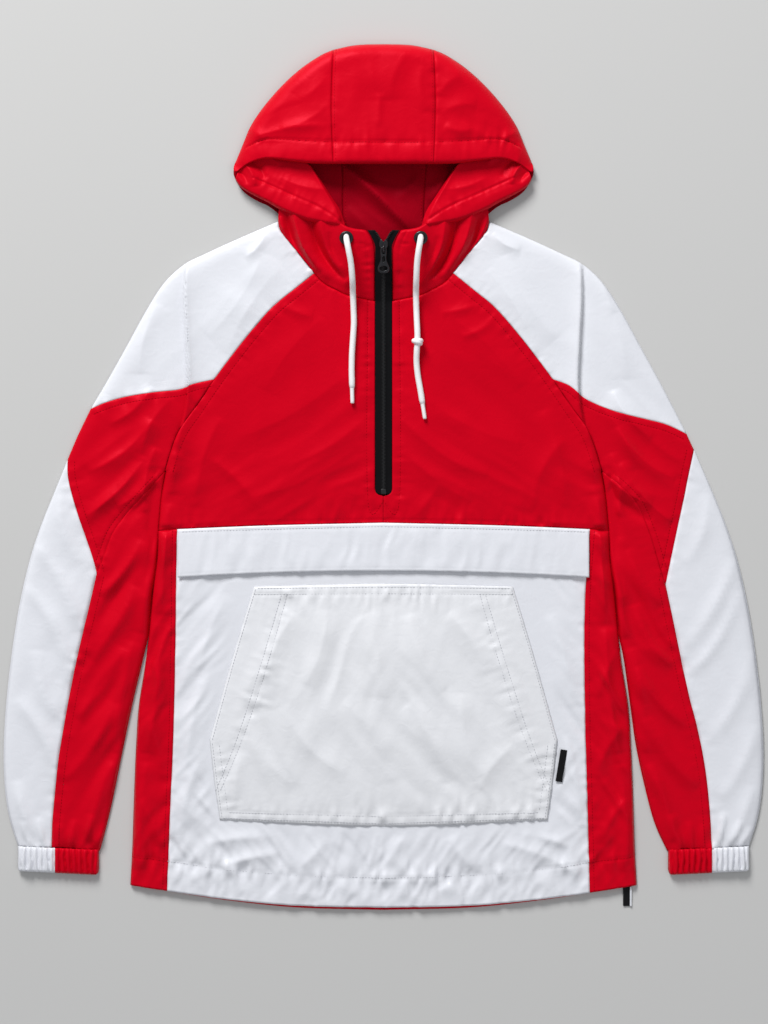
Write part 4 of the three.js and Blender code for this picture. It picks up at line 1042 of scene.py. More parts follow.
# ---- Small solid shapes ----
def tube(path, radius, sides=16, scale=None, rounded=True):
    """A closed tube along 3D points, with its ends drawn in."""
    path = np.asarray(path, float)
    way = np.gradient(path, axis=0)
    way /= np.linalg.norm(way, axis=1)[:, None]
    up = np.array([0.0, 0.0, 1.0]) if abs(way[0][2]) < 0.9 else np.array([1.0, 0.0, 0.0])
    rings, turn = [], np.linspace(0, 2 * math.pi, sides, endpoint=False)
    radii = np.full(len(path), float(radius)) if scale is None else radius * np.asarray(scale)
    for point, direction, size in zip(path, way, radii):
        side_way = np.cross(direction, up)
        side_way /= np.linalg.norm(side_way)
        up = np.cross(side_way, direction)
        rings.append(point + size * (np.cos(turn)[:, None] * side_way + np.sin(turn)[:, None] * up))
    if rounded:
        first, last = rings[0], rings[-1]
        rings.insert(0, path[0] - way[0] * radii[0] * 0.22 + (first - path[0]) * 0.72)
        rings.append(path[-1] + way[-1] * radii[-1] * 0.22 + (last - path[-1]) * 0.72)
    points = np.vstack(rings)
    faces = []
    for i in range(len(rings) - 1):
        for k in range(sides):
            a, b = i * sides + k, i * sides + (k + 1) % sides
            faces.append((a, b, b + sides, a + sides))
    faces.append(tuple(range(sides))[::-1])
    faces.append(tuple(range(len(points) - sides, len(points))))
    return points, faces


def smooth_route(route, step=2.5):
    """Centripetal curve through 3D points, as the solid cords follow."""
    route = np.asarray(route, float)
    ends = [2 * route[0] - route[1], *route, 2 * route[-1] - route[-2]]
    points = []
    for i in range(len(route) - 1):
        a, b, c, d = ends[i : i + 4]
        gaps = [max(1e-4, np.linalg.norm(q - p) ** 0.5) for p, q in ((a, b), (b, c), (c, d))]
        v0 = ((b - a) / gaps[0] - (c - a) / (gaps[0] + gaps[1]) + (c - b) / gaps[1]) * gaps[1]
        v1 = ((c - b) / gaps[1] - (d - b) / (gaps[1] + gaps[2]) + (d - c) / gaps[2]) * gaps[1]
        t = np.linspace(0, 1, max(2, int(np.linalg.norm(c - b) / step)), endpoint=False)[:, None]
        square = (3 * c - 3 * b - 2 * v0 - v1) * t**2
        points.append((2 * b - 2 * c + v0 + v1) * t**3 + square + v0 * t + b)
    return np.vstack([*points, route[-1:]])


def tilted(points, angle):
    """The points turned about X."""
    turned = points.copy()
    turned[:, 1] = points[:, 1] * math.cos(angle) - points[:, 2] * math.sin(angle)
    turned[:, 2] = points[:, 1] * math.sin(angle) + points[:, 2] * math.cos(angle)
    return turned


def lathe(profile, centre, tilt=0.0, segments=40):
    """A closed ring turned from rows of radius and height."""
    profile = np.asarray(profile, float)
    turn = np.linspace(0, 2 * math.pi, segments, endpoint=False)
    rings = [
        np.stack([r * np.cos(turn), r * np.sin(turn), np.full(segments, h)], axis=1) for r, h in profile
    ]
    points = tilted(np.vstack(rings), tilt)
    faces, count = [], len(profile)
    for i in range(count):
        for k in range(segments):
            a, b = i * segments + k, i * segments + (k + 1) % segments
            c = (i + 1) % count * segments
            faces.append((a, b, c + (k + 1) % segments, c + k))
    return points + np.asarray(centre, float), faces


def plate(outline, thickness, centre=(0, 0, 0), bevel=0.35, tilt=0.0, holes=()):
    """A flat plate with rounded edges from closed outlines in mm, turned about X and moved."""
    curve = bpy.data.curves.new("plate", "CURVE")
    curve.dimensions = "2D"
    curve.fill_mode = "BOTH"
    curve.extrude = max(0.0, thickness / 2 - bevel)
    curve.bevel_depth = bevel
    curve.bevel_resolution = 2
    curve.offset = -bevel
    for loop in (outline, *holes):
        line = curve.splines.new("POLY")
        line.points.add(len(loop) - 1)
        for point, (x, y) in zip(line.points, loop):
            point.co = (x, y, 0, 1)
        line.use_cyclic_u = True
    helper = bpy.data.objects.new("plate", curve)
    bpy.context.scene.collection.objects.link(helper)
    mesh = bpy.data.meshes.new_from_object(helper.evaluated_get(bpy.context.evaluated_depsgraph_get()))
    points = np.array([v.co[:] for v in mesh.vertices])
    faces = [tuple(p.vertices) for p in mesh.polygons]
    bpy.data.objects.remove(helper)
    bpy.data.meshes.remove(mesh)
    return tilted(points, tilt) + np.asarray(centre, float), faces


MERGE_DISTANCE = 0.00001  # in metres


def merge_close(obj):
    """Joins points that coincide and turns every face outwards."""
    work = bmesh.new()
    work.from_mesh(obj.data)
    bmesh.ops.remove_doubles(work, verts=work.verts, dist=MERGE_DISTANCE)
    bmesh.ops.recalc_face_normals(work, faces=work.faces)
    work.to_mesh(obj.data)
    work.free()


def hard_piece(name, parts, material, nodes, body="garment", angle=50):
    """A moulded, cast or braided piece, its edges sharp beyond the given angle."""
    obj = make_object(name, parts, material)
    merge_close(obj)
    obj.data.shade_smooth()
    obj.data.set_sharp_from_angle(angle=math.radians(angle))
    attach(obj, body)
    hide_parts(*nodes)
    return obj


def stitches(path, height, length=2.5, gap=0.9, radius=0.34):
    """Short plump stitches along a line on the cloth."""
    along = lengths(path)
    places = np.arange(1.0, along[-1] - length, length + gap)
    ends = np.concatenate([places, places + length])
    x, y = (np.interp(ends, along, column) for column in path.T)
    points = np.stack([x, y, height(x, y)], axis=1)
    count = len(places)
    parts = []
    for a, b in zip(points[:count], points[count:]):
        middle = (a + b) / 2 + [0, 0, radius * 0.8]
        parts.append(tube([a, middle, b], radius, sides=5, scale=[0.7, 1.0, 0.7], rounded=False))
    return parts


# ---- Settings ----
def colour_property(name, description, default):
    return bpy.props.FloatVectorProperty(
        name=name, description=description, default=default, subtype="COLOR", size=3, min=0, max=1
    )


class AnorakSettings(bpy.types.PropertyGroup):
    red_colour: colour_property("Red cloth", "Colour of the red panels", (0.62, 0.0012, 0.012))
    # Painted shade: the inside of the hood is this darker red, standing in for the shade under the brim.
    red_inside_shade_colour: colour_property("Red inside (painted shade)", "Inside of the hood", (0.34, 0.0008, 0.009))
    white_colour: colour_property("White cloth", "Colour of the white panels", (0.81, 0.82, 0.87))
    pocket_colour: colour_property("Pocket cloth", "Colour of the pocket", (0.83, 0.835, 0.865))
    black_colour: colour_property("Zip", "Colour of the zip tape and teeth", (0.0045, 0.0045, 0.0052))
    metal_colour: colour_property("Metal", "Colour of slider, pull and eyelets", (0.014, 0.014, 0.016))
    cord_colour: colour_property("Cord", "Colour of the drawcords", (0.93, 0.92, 0.93))
    cell_size: bpy.props.FloatProperty(
        name="Cloth cell", description="Longest side of a cell of the cloth meshes",
        default=0.0023, min=0.0015, max=0.02, unit="LENGTH",
    )
    cloth_thickness: bpy.props.FloatProperty(
        name="Cloth thickness", description="Thickness of the cloth",
        default=0.00045, min=0.0001, max=0.002, unit="LENGTH",
    )
    fold_strength: bpy.props.FloatProperty(
        name="Folds", description="Height of every crease and pucker, as a share",
        default=1.5, min=0.0, max=3.0, subtype="FACTOR",
    )


class AnorakStageSettings(bpy.types.PropertyGroup):
    floor_colour: colour_property("Floor", "Colour of the floor", (0.60, 0.595, 0.585))
    camera_height: bpy.props.FloatProperty(
        name="Camera height", description="Height of the camera above the floor",
        default=2.606, min=0.5, max=10, unit="LENGTH",
    )
    key_power: bpy.props.FloatProperty(
        name="Key light", description="Power of the large light beyond the hood",
        default=235.0, min=0, max=2000, unit="POWER",
    )


# ---- Body ----
def body_shapes():
    chest, sides = [], []
    for _, sign in SIDES:
        slot = [(9.4, 188.6), (9.4, 80), (9.4, -15), (8.2, -18.6), (5.5, -21), (0, -22), (0, -51)]
        left = np.array([(sign * x, y) for x, y in slot], float)
        neck = edge("neckFront", sign)
        neck = np.vstack([[[sign * 9.4, 188.6]], neck[np.abs(neck[:, 0]) > 11]])
        chest.append({
            "bottom": neck, "left": left, "right": run(sign, "raglanUpper raglanLower sideUpper"),
            "top": run(sign, "chestInner chestOuter"),
        })
        sides.append({
            "bottom": edge("hemSide", sign), "top": edge("chestOuter", sign),
            "left": flip(edge("stripe", sign)), "right": flip(run(sign, "sideMiddle sideLower")),
        })
    return chest, sides


def back_height(x, y, _u, _v):
    z = FLOOR_GAP + 0.35 * (1 + noise(x / 52, y / 64, 7)) * 0.5
    for sign in (-1, 1):
        d, _ = nearest(x, y, run(sign, "sideUpper sideMiddle sideLower"))
        curl = 1 - np.clip(d / 3, 0, 1)
        z = z + (RIM_LEVEL - 0.5 - FLOOR_GAP) * curl * curl
    return z


class ANORAK_OT_body(bpy.types.Operator):
    """Chest, lower front, side panels and back"""

    bl_idname = "anorak.body"
    bl_label = "Body"

    def execute(self, context):
        chest, sides = body_shapes()
        backs = [
            {
                "bottom": edge("hemBack", sign), "top": run(sign, "hoodNeckMiddle hoodNeckSide"),
                "left": np.array([(0, -470), (0, 210)], float),
                "right": flip(run(sign, "raglanUpper raglanLower sideUpper sideMiddle sideLower")),
            }
            for _, sign in SIDES
        ]
        single_panel("back_panel", backs, back_height, red_cloth(), ["back_body"],
                     outward=-1, coarse=3.0)
        single_panel("chest_panel", chest, body_height, red_cloth(), ["front_chest"])
        lower = {
            "bottom": both_sides("hemMiddle"), "top": both_sides("chestInner"),
            "left": flip(edge("stripe", -1)), "right": flip(edge("stripe", 1)),
        }
        single_panel("lower_front_panel", [lower], body_height, white_cloth(),
                     ["front_lower"])
        for (name, _), shape in zip(SIDES, sides):
            single_panel(f"side_panel_{name}", [shape], body_height, red_cloth(),
                         [f"side_front_{name}"])
        return {"FINISHED"}


# ---- Pocket, flap and tapes ----
class ANORAK_OT_pocket(bpy.types.Operator):
    """Storm flap, kangaroo pocket, blank pocket label and blank hem tape"""

    bl_idname = "anorak.pocket"
    bl_label = "Pocket and flap"

    def execute(self, context):
        side = pocket_side()
        left, right = flip(side) * [-1, 1], flip(side)
        bow_bottom = spline([left[0], (0, POCKET_BOTTOM_Y), right[0]])
        bow_top = spline([left[-1], (0, POCKET_TOP_Y), right[-1]])
        shape = {"bottom": bow_bottom, "top": bow_top, "left": left, "right": right}
        single_panel("pocket_panel", [shape], pocket_height, pocket_cloth(), ["pocket"])
        top = flap_line(FLAP["topMiddle"], FLAP["topSide"])
        bottom = flap_line(FLAP["bottomMiddle"], FLAP["bottomSide"])
        shape = {
            "bottom": bottom, "top": top, "left": np.stack([bottom[0], top[0]]),
            "right": np.stack([bottom[-1], top[-1]]),
        }
        single_panel("storm_flap_panel", [shape], flap_height, white_cloth(),
                     ["storm_flap"])
        self.tapes()
        return {"FINISHED"}

    def tapes(self):
        """Woven label on the pocket's edge, and under the hem a black tape with a white edge."""
        colours = bpy.context.scene.anorak
        black = ribbon_cloth("Black Woven Label", colours.black_colour, 1.5)
        parts = self.ribbon((192.1, -313.5), (7, 35), LEVEL + ON_PANEL + 0.4, 0.16)
        label = make_object("pocket_label_woven", parts, black)
        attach(label, "garment")
        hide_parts("pocket_label")
        black = ribbon_cloth("Black Hem Tape", colours.black_colour, 1.5)
        tape = make_object("hem_tape_woven", self.ribbon((264, -455.6), (9, 20.8), 0.75), black)
        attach(tape, "garment")
        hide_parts("hem_tape")
        white = ribbon_cloth("White Tape Edge", colours.white_colour, 0.9)
        selvage = make_object("hem_tape_edge", self.ribbon((267.6, -455.6), (1.8, 20.8), 1.3), white)
        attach(selvage, "garment")

    def ribbon(self, place, size, level, tilt=0.0):
        """A ribbon with thicker woven edges, fine ribs and a slight wave."""
        width, length = size
        turn = np.array([[math.cos(tilt), math.sin(tilt)], [-math.sin(tilt), math.cos(tilt)]])
        x, y = np.meshgrid(np.linspace(-width / 2, width / 2, 15), np.linspace(-length / 2, length / 2, 41))
        wave = 0.18 * np.sin(y / length * 5) + 0.1 * noise(x / 4, y / 6, 3)
        edge_roll = 0.22 * np.exp(-(((np.abs(x) - width / 2) / 0.8) ** 2))
        rib = 0.05 * np.sin(y * 2 * math.pi / 1.6)
        flat = np.stack([x, y], axis=-1) @ turn.T + place
        return [shell(flat, level + wave + edge_roll + rib, 1, 0.7)]


# ---- Sleeves ----
class ANORAK_OT_sleeves(bpy.types.Operator):
    """Both sleeves, each in four colour-blocked panels, and the gathered cuffs"""

    bl_idname = "anorak.sleeves"
    bl_label = "Sleeves and cuffs"

    def execute(self, context):
        for name, sign in SIDES:
            self.sleeve(name, sign)
            self.cuff(name, sign)
        return {"FINISHED"}

    def sleeve(self, name, sign):
        rim = np.vstack([
            flip(run(sign, "sideUpper sideMiddle innerEdge")), run(sign, "shoulder upperEdge outerEdge")
        ])
        shapes = {
            "shoulder": ("white", {
                "bottom": edge("raglanUpper", sign), "top": edge("shoulder", sign),
                "left": edge("neckSide", sign), "right": edge("block", sign),
            }),
            "upper": ("red", {
                "bottom": run(sign, "raglanLower underarm"), "top": run(sign, "upperEdge elbowUpper"),
                "left": edge("block", sign),
            }),
            "outer": ("white", {
                "bottom": run(sign, "elbowUpper elbowLower"), "top": edge("outerEdge", sign),
                "right": edge("cuffOuter", sign),
            }),
            "inner": ("red", {
                "bottom": run(sign, "sideUpper sideMiddle innerEdge"),
                "top": run(sign, "underarm elbowLower"), "right": edge("cuffInner", sign),
            }),
        }
        for piece, (colour, shape) in shapes.items():
            closed = close_points(shape)
            material = red_cloth() if colour == "red" else white_cloth()
            front_and_back(
                f"sleeve_{piece}_{name}", closed, closed, sleeve_height, rim, material,
                [f"sleeve_{piece}_front_{name}", f"sleeve_{piece}_back_{name}"],
            )

    def cuff(self, name, sign):
        ends = {
            "inner": (CUFF_START, -406.0, CUFF_SEAM, -404.0),
            "outer": (CUFF_SEAM, -404.0, CUFF_END, -402.2),
        }
        for piece, (x0, y0, x1, y1) in ends.items():
            foot0, foot1 = y0 - CUFF_LENGTH, y1 - CUFF_LENGTH
            if piece == "inner":
                low0, low1 = x0 + CUFF_ROUND, x1
                left = [(low0, foot0), (x0 + 0.3, foot0 + 3.5), (x0, y0 - 12), (x0, y0 + CUFF_TUCK)]
                right = [(x1, foot1), (x1, y1 + CUFF_TUCK)]
            else:
                low0, low1 = x0, x1 - CUFF_ROUND
                left = [(x0, foot0), (x0, y0 + CUFF_TUCK)]
                right = [(low1, foot1), (x1 - 0.3, foot1 + 3.5), (x1, y1 - 12), (x1, y1 + CUFF_TUCK)]
            shape = {
                "bottom": mirrored([(low0, foot0), (low1, foot1)], sign),
                "top": mirrored([(x0, y0 + CUFF_TUCK), (x1, y1 + CUFF_TUCK)], sign),
                "left": mirrored(left, sign), "right": mirrored(right, sign),
            }
            colour = "red" if piece == "inner" else "white"
            material = red_cloth() if colour == "red" else white_cloth()
            self.gathered(f"cuff_{piece}_band_{name}", shape, material, f"{colour}_cloth",
                          [f"cuff_{piece}_front_{name}", f"cuff_{piece}_back_{name}"])

    def gathered(self, name, shape, material, slot, nodes):
        """A cuff's upper layer in deep uneven gathers over a lower layer in shallow ones."""
        cloth = bpy.context.scene.anorak.cloth_thickness / MM
        grid, _, v = patch(**shape, cell=1.1)
        top = shell(grid, self.gather_height(np.abs(grid[..., 0]) - CUFF_START, v), 1, cloth)
        below, _, _ = patch(**shape, cell=1.6)
        out = np.abs(below[..., 0]) - CUFF_START
        low_z = 0.5 + 0.35 * np.sin(math.pi * out / 4.4)
        low = shell(below, low_z + 0.2, -1, cloth)
        cloth_piece(name, [top, low], material, nodes)

    def gather_height(self, out, v):
        """Height of the gathers from how far out across the cuff and how far up it a point lies."""
        drift = out + 1.6 * noise(out / 11, v * 1.4, 201) + 0.8 * noise(out / 5, v * 3.0, 202)
        rib = np.abs(np.sin(math.pi * drift / RIB_PERIOD + 0.5)) ** 0.8
        fine = 0.5 * noise(out / 2.6, v * 2.2, 203)
        z = 5.2 + (4.6 * rib + fine) * (0.45 + 0.55 * np.sin(math.pi * np.clip(v, 0.02, 0.98)) ** 0.5)
        z = z - 0.7 * np.exp(-(((1 - v) * CUFF_LENGTH / 1.2) ** 2))
        side = np.minimum(out, CUFF_END - CUFF_START - out)
        near = 1 - np.clip(side / 8, 0, 1)
        z = RIM_LEVEL + (z - RIM_LEVEL) * np.sqrt(1 - near * near)
        end = 1 - np.clip(v * CUFF_LENGTH / 3.5, 0, 1)
        return RIM_LEVEL + (z - RIM_LEVEL) * np.sqrt(1 - end * end * 0.98)


# ---- Hood and collar ----
class ANORAK_OT_hood(bpy.types.Operator):
    """Hood with its rolled brim and lips, and the standing collar"""

    bl_idname = "anorak.hood"
    bl_label = "Hood and collar"

    def execute(self, context):
        self.middle()
        for name, sign in SIDES:
            self.side(name, sign)
            self.lip(name, sign)
            self.collar(name, sign)
        return {"FINISHED"}

    def middle(self):
        crown = {
            "bottom": both_sides("brimMiddle"), "top": both_sides("crownTop"),
            "left": edge("crownSeam", -1), "right": edge("crownSeam", 1),
        }
        single_panel("hood_crown_panel", [crown], crown_with_brim, red_cloth(),
                     ["hood_crown_middle"])
        behind = {
            "bottom": both_sides("hoodNeckMiddle"), "top": both_sides("crownTop"),
            "left": edge("hoodBackSeam", -1), "right": edge("hoodBackSeam", 1),
        }
        # The hood's back takes the darker inside red: painted shade in the hood's mouth.
        single_panel("hood_back_panel", [behind], hood_back_height, red_inside_shade_cloth(),
                     ["hood_back_middle"], coarse=1.3)

    def side(self, name, sign):
        crown = {
            "bottom": edge("brimSide", sign), "top": edge("crownEdge", sign),
            "left": edge("crownSeam", sign), "right": edge("crownCorner", sign),
        }
        single_panel(f"hood_crown_panel_{name}", [crown], crown_with_brim, red_cloth(),
                     [f"hood_crown_{name}"])
        behind = {
            "bottom": run(sign, "hoodNeckSide neckSide"), "top": edge("crownEdge", sign),
            "left": edge("hoodBackSeam", sign), "right": flip(edge("hoodBackEdge", sign)),
        }
        # Painted shade: the hood's back sides take the darker inside red.
        single_panel(f"hood_back_panel_{name}", [behind], hood_back_height, red_inside_shade_cloth(),
                     [f"hood_back_{name}"], coarse=1.3)

    def lip(self, name, sign):
        shape = {
            "bottom": edge("lipEdge", sign), "top": edge("lipHidden", sign),
            "left": edge("lipRidge", sign), "right": edge("lipCorner", sign),
        }
        single_panel(f"hood_lip_panel_{name}", [shape], lip_height, red_cloth(),
                     [f"hood_lip_{name}"], coarse=0.7)

    def collar(self, name, sign):
        neck = run(sign, "neckFront neckSide")
        neck = np.vstack([[[sign * 9.6, 188.6]], neck[np.abs(neck[:, 0]) > 11]])
        zip_edge = [(9.6, 188.6), (9.6, 214), (9.6, 238), (11, 248), (14.2, 257), (19, 264)]
        shape = {
            "bottom": neck, "top": edge("collarTop", sign),
            "left": mirrored(zip_edge, sign), "right": edge("collarEnd", sign),
        }
        single_panel(f"collar_panel_{name}", [shape], collar_panel_height, red_cloth(),
                     [f"collar_{name}"], coarse=0.7)


# ---- Zip ----
def flare(y):
    """How far the two halves of the zip stand apart above the slider."""
    return 9.0 * np.clip((y - 246) / 18, 0, 1) ** 1.35


class ANORAK_OT_zip(bpy.types.Operator):
    """Zip tapes, coil teeth, slider and the pull that hangs on it"""

    bl_idname = "anorak.zip"
    bl_label = "Zip"

    def execute(self, context):
        for name, sign in SIDES:
            self.tape(name, sign)
        self.chain()
        self.slider()
        self.pull()
        return {"FINISHED"}

    def tape(self, name, sign):
        y = np.linspace(ZIP_END, ZIP_TOP + 0.6, 170)
        across = np.linspace(0, 1, 13)
        yy, ss = np.meshgrid(y, across, indexing="ij")
        inner = 0.25 + flare(yy)
        corner = np.clip(1 - (yy - ZIP_END) / 1.4, 0, 1)
        outer = ZIP_HALF - 0.2 + flare(yy) * 0.95 - 1.0 * (1 - np.sqrt(1 - corner * corner * 0.999))
        x = inner + (outer - inner) * ss
        z = zip_height(yy) + 0.5 - 0.35 * ss + 0.55 * np.exp(-(((x - flare(yy) - 2.6) / 0.9) ** 2))
        z = z + 0.1 * noise(yy / 9, ss * 2, 15)
        grid = np.stack([sign * x, yy], axis=-1)
        obj = make_object(f"zip_tape_cloth_{name}", [shell(grid, z, 1, 0.9)], zip_tape_cloth())
        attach(obj, "garment")
        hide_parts(f"zip_tape_{name}")

    def chain(self):
        """Two rows of coil teeth that mesh below the slider and part above it, and the end stop."""
        parts = []
        for sign in (-1, 1):
            shift = TOOTH_PITCH / 2 if sign > 0 else 0
            for y in np.arange(ZIP_END + 5, ZIP_TOP - 1, TOOTH_PITCH) + shift:
                gap = float(flare(np.array(y)))
                z = float(zip_height(np.array(y))) + 0.9
                rows = ((gap - 0.5, z), (gap + 0.7, z + 0.42), (gap + 2.0, z))
                path = [(sign * x, y, level) for x, level in rows]
                parts.append(tube(path, 0.62, sides=6, scale=[0.75, 1.0, 0.8], rounded=False))
        stop = [(-3.0, -0.5), (-2.4, -2.2), (2.4, -2.2), (3.0, -0.5), (2.6, 3.4), (-2.6, 3.4)]
        parts.append(plate(stop, 1.6, (0, ZIP_END + 2.6, LEVEL + 1.4), 0.4))
        hard_piece("zip_coil", parts, black_coil(), ["zip_chain"])

    def slider(self):
        """Two shaped plates joined by a post, and the bridge that holds the pull."""
        (_, y0, z0), (_, y1, _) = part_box("zip_slider")
        middle = (y0 + y1) / 2 / MM - SHIFT_Y
        foot = z0 / MM
        wing = [
            (-2.6, -7.4), (2.6, -7.4), (3.4, -6.6), (3.2, -2.6), (4.4, 0.5), (4.6, 4.2),
            (3.6, 7.0), (1.6, 7.4), (0, 5.0), (-1.6, 7.4), (-3.6, 7.0), (-4.6, 4.2), (-4.4, 0.5),
            (-3.2, -2.6), (-3.4, -6.6),
        ]
        outline = spline(wing + wing[:1], 0.7)[:-1]
        base = (0, middle, foot + 1.1)
        top = (0, middle - 0.15, foot + 3.0)
        parts = [
            plate(outline, 1.2, base, 0.35, SLIDER_SLOPE),
            plate(outline * 0.97, 1.2, top, 0.45, SLIDER_SLOPE),
        ]
        post = [(-1.2, 2.2), (1.2, 2.2), (1.0, 5.4), (-1.0, 5.4)]
        parts.append(plate(post, 2.6, (0, middle, foot + 2.4), 0.2, SLIDER_SLOPE))
        arch = [
            (-3.9, -1.6), (-3.6, 0.3), (-2.1, 1.7), (0.5, 2.05), (2.2, 1.85), (3.3, 0.8), (3.9, -0.6),
            (4.2, -1.8),
        ]
        bridge = [(0, PIVOT_Y + y, PIVOT_Z + z) for y, z in arch]
        parts.append(tube(smooth_route(bridge, 0.6), 0.85, sides=12))
        hard_piece("zip_slider_cast", parts, black_metal(), ["zip_slider"])

    def pull(self):
        """Long eye round the bridge, a narrow waist and a teardrop tab with a rounded window."""
        half = [
            (0, 1.5), (2.8, 1.0), (3.4, -3.0), (3.0, -8.0), (3.3, -12.6), (4.8, -16.4), (6.2, -20.0),
            (6.0, -23.4), (3.9, -25.6), (0, -26.2),
        ]
        outer = half + [(-x, y) for x, y in half[-2:0:-1]]
        eye = [
            (-1.75, 0.4), (0, 0.7), (1.75, 0.4), (1.8, -3.2), (1.0, -5.4), (0, -5.8), (-1.0, -5.4),
            (-1.8, -3.2),
        ]
        slot = [(-1.2, -8.6), (0, -8.0), (1.2, -8.6), (1.4, -13.2), (0, -14.0), (-1.4, -13.2)]
        turn = np.linspace(0, 2 * math.pi, 13)[:-1]
        window = [(4.3 * math.sin(a), -21.0 + 2.6 * math.cos(a)) for a in turn]
        loops = [spline(rows + rows[:1], 0.6)[:-1] for rows in (outer, eye, slot, window)]
        centre = (0, PIVOT_Y, PIVOT_Z)
        parts = [plate(loops[0], 1.7, centre, 0.5, SLIDER_SLOPE, holes=loops[1:])]
        hard_piece("zip_pull_tab", parts, black_metal(), ["zip_pull"], body="zip_pull")


# ---- Drawcords ----
COLLAR_SHARE = (EYELET[1] - NECK_Y) / (COLLAR_TOP_Y - NECK_Y) - 0.06
EYELET_TILT = 0.06  # how much the eyelets lean with the collar, in radians
EYELET_Z = float(collar_height(np.array(EYELET[0]), COLLAR_SHARE)) + HALF_PANEL + 1
RING_ABOVE = 0.5  # middle of an eyelet's ring above the start of its cord
CHEST_Z = LEVEL + HALF_PANEL + CORD_GAP + CORD_DIAMETER / 2  # middle of a cord that lies on the chest
CORD_ROUTES = {
    "left": [
        (-40, 257, EYELET_Z - 0.8), (-39.8, 254.4, EYELET_Z + 3.4), (-39, 249, EYELET_Z + 7.2),
        (-37.4, 241, EYELET_Z + 8), (-35, 228, EYELET_Z + 5.6), (-33.4, 210, EYELET_Z + 0.6),
        (-33, 196, CHEST_Z + 3.4), (-32.4, 180, CHEST_Z + 0.5), (-32, 165, CHEST_Z),
        (-33, 148, CHEST_Z), (-34, 132, CHEST_Z), (-34.4, 113, CHEST_Z), (-34.2, 104, CHEST_Z),
        (-34, 95, CHEST_Z),
    ],
    "right": [
        (40, 257, EYELET_Z - 0.8), (39.8, 254.4, EYELET_Z + 3.4), (39, 249, EYELET_Z + 7.2),
        (37.6, 241, EYELET_Z + 8), (36, 228, EYELET_Z + 5.6), (35.2, 210, EYELET_Z + 0.6),
        (35, 196, CHEST_Z + 4), (35.4, 180, CHEST_Z + 1.6), (36, 165, CHEST_Z + 2.4),
        (36.5, 154, CHEST_Z + 3.4), (36.5, 144, CHEST_Z + 3.6), (35.8, 134, CHEST_Z + 3.2),
        (35.6, 122, CHEST_Z + 1), (37, 108, CHEST_Z), (39.8, 92, CHEST_Z), (42, 78, CHEST_Z),
    ],
}


class ANORAK_OT_cords(bpy.types.Operator):
    """Eyelets, drawcords, their tips and the knot in the right one"""

    bl_idname = "anorak.cords"
    bl_label = "Drawcords"

    def execute(self, context):
        for name, sign in SIDES:
            self.eyelet(name, sign)
            self.cord(name)
        return {"FINISHED"}

    def eyelet(self, name, sign):
        """A rolled ring with a dark cup behind it."""
        rolled = [
            (4.5, -0.9), (7.3, -0.9), (7.5, -0.4), (7.2, 0.2), (6.6, 0.6), (5.9, 0.78), (5.2, 0.6),
            (4.7, 0.1), (4.5, -0.4),
        ]
        cup = [(0.02, -1.0), (4.6, -1.0), (4.6, -0.6), (0.02, -0.8)]
        centre = (sign * EYELET[0], EYELET[1], EYELET_Z + RING_ABOVE)
        parts = [lathe(profile, centre, EYELET_TILT) for profile in (rolled, cup)]
        hard_piece(f"eyelet_ring_{name}", parts, black_metal(), [f"eyelet_{name}"], angle=60)

    def cord(self, name):
        """One drawcord from its eyelet to its moulded tip."""
        path = smooth_route(CORD_ROUTES[name])
        swell = np.full(len(path), 1.0)
        swell[:3] = (0.86, 0.93, 0.98)
        swell[-2:] = (0.96, 0.86)
        cord = hard_piece(f"drawcord_tube_{name}", [tube(path, CORD_DIAMETER / 2, 24, swell)],
                          cord_material(), [f"drawcord_{name}"], angle=80)
        end, along = path[-1], path[-1] - path[-2]
        along = along / np.linalg.norm(along)
        places = np.array([0.1, 1.2, 4, 9, 14, 16.2, TIP_LENGTH - 0.2])
        tip_path = end + along * places[:, None]
        scale = [1.12, 1.04, 1.0, 0.98, 0.96, 0.95, 0.84]
        tip = hard_piece(f"cord_tip_moulded_{name}", [tube(tip_path, 2.2, 20, scale)],
                         cord_material(), [f"cord_tip_{name}"], angle=80)
        if name == "right":
            self.knot()

    def knot(self):
        """A knot: a turn and a half of cord round the drawcord, its ends drawn in thin."""
        t = np.linspace(-0.35, 1.2, 64)
        turn = 2 * math.pi * t + math.pi / 2
        x = KNOT[0] + 3.7 * np.cos(turn)
        z = CHEST_Z + 3.6 + 3.3 * np.sin(turn)
        y = KNOT[1] + 3.2 * (t - 0.42) + 1.5 * np.sin(turn * 0.5)
        size = np.interp(t, [-0.35, -0.1, 0.95, 1.2], [0.55, 1, 1, 0.55])
        parts = [tube(np.stack([x, y, z], axis=1), 2.75, 18, size)]
        return hard_piece("cord_knot_tied", parts, cord_material(), ["cord_knot_right"], angle=80)


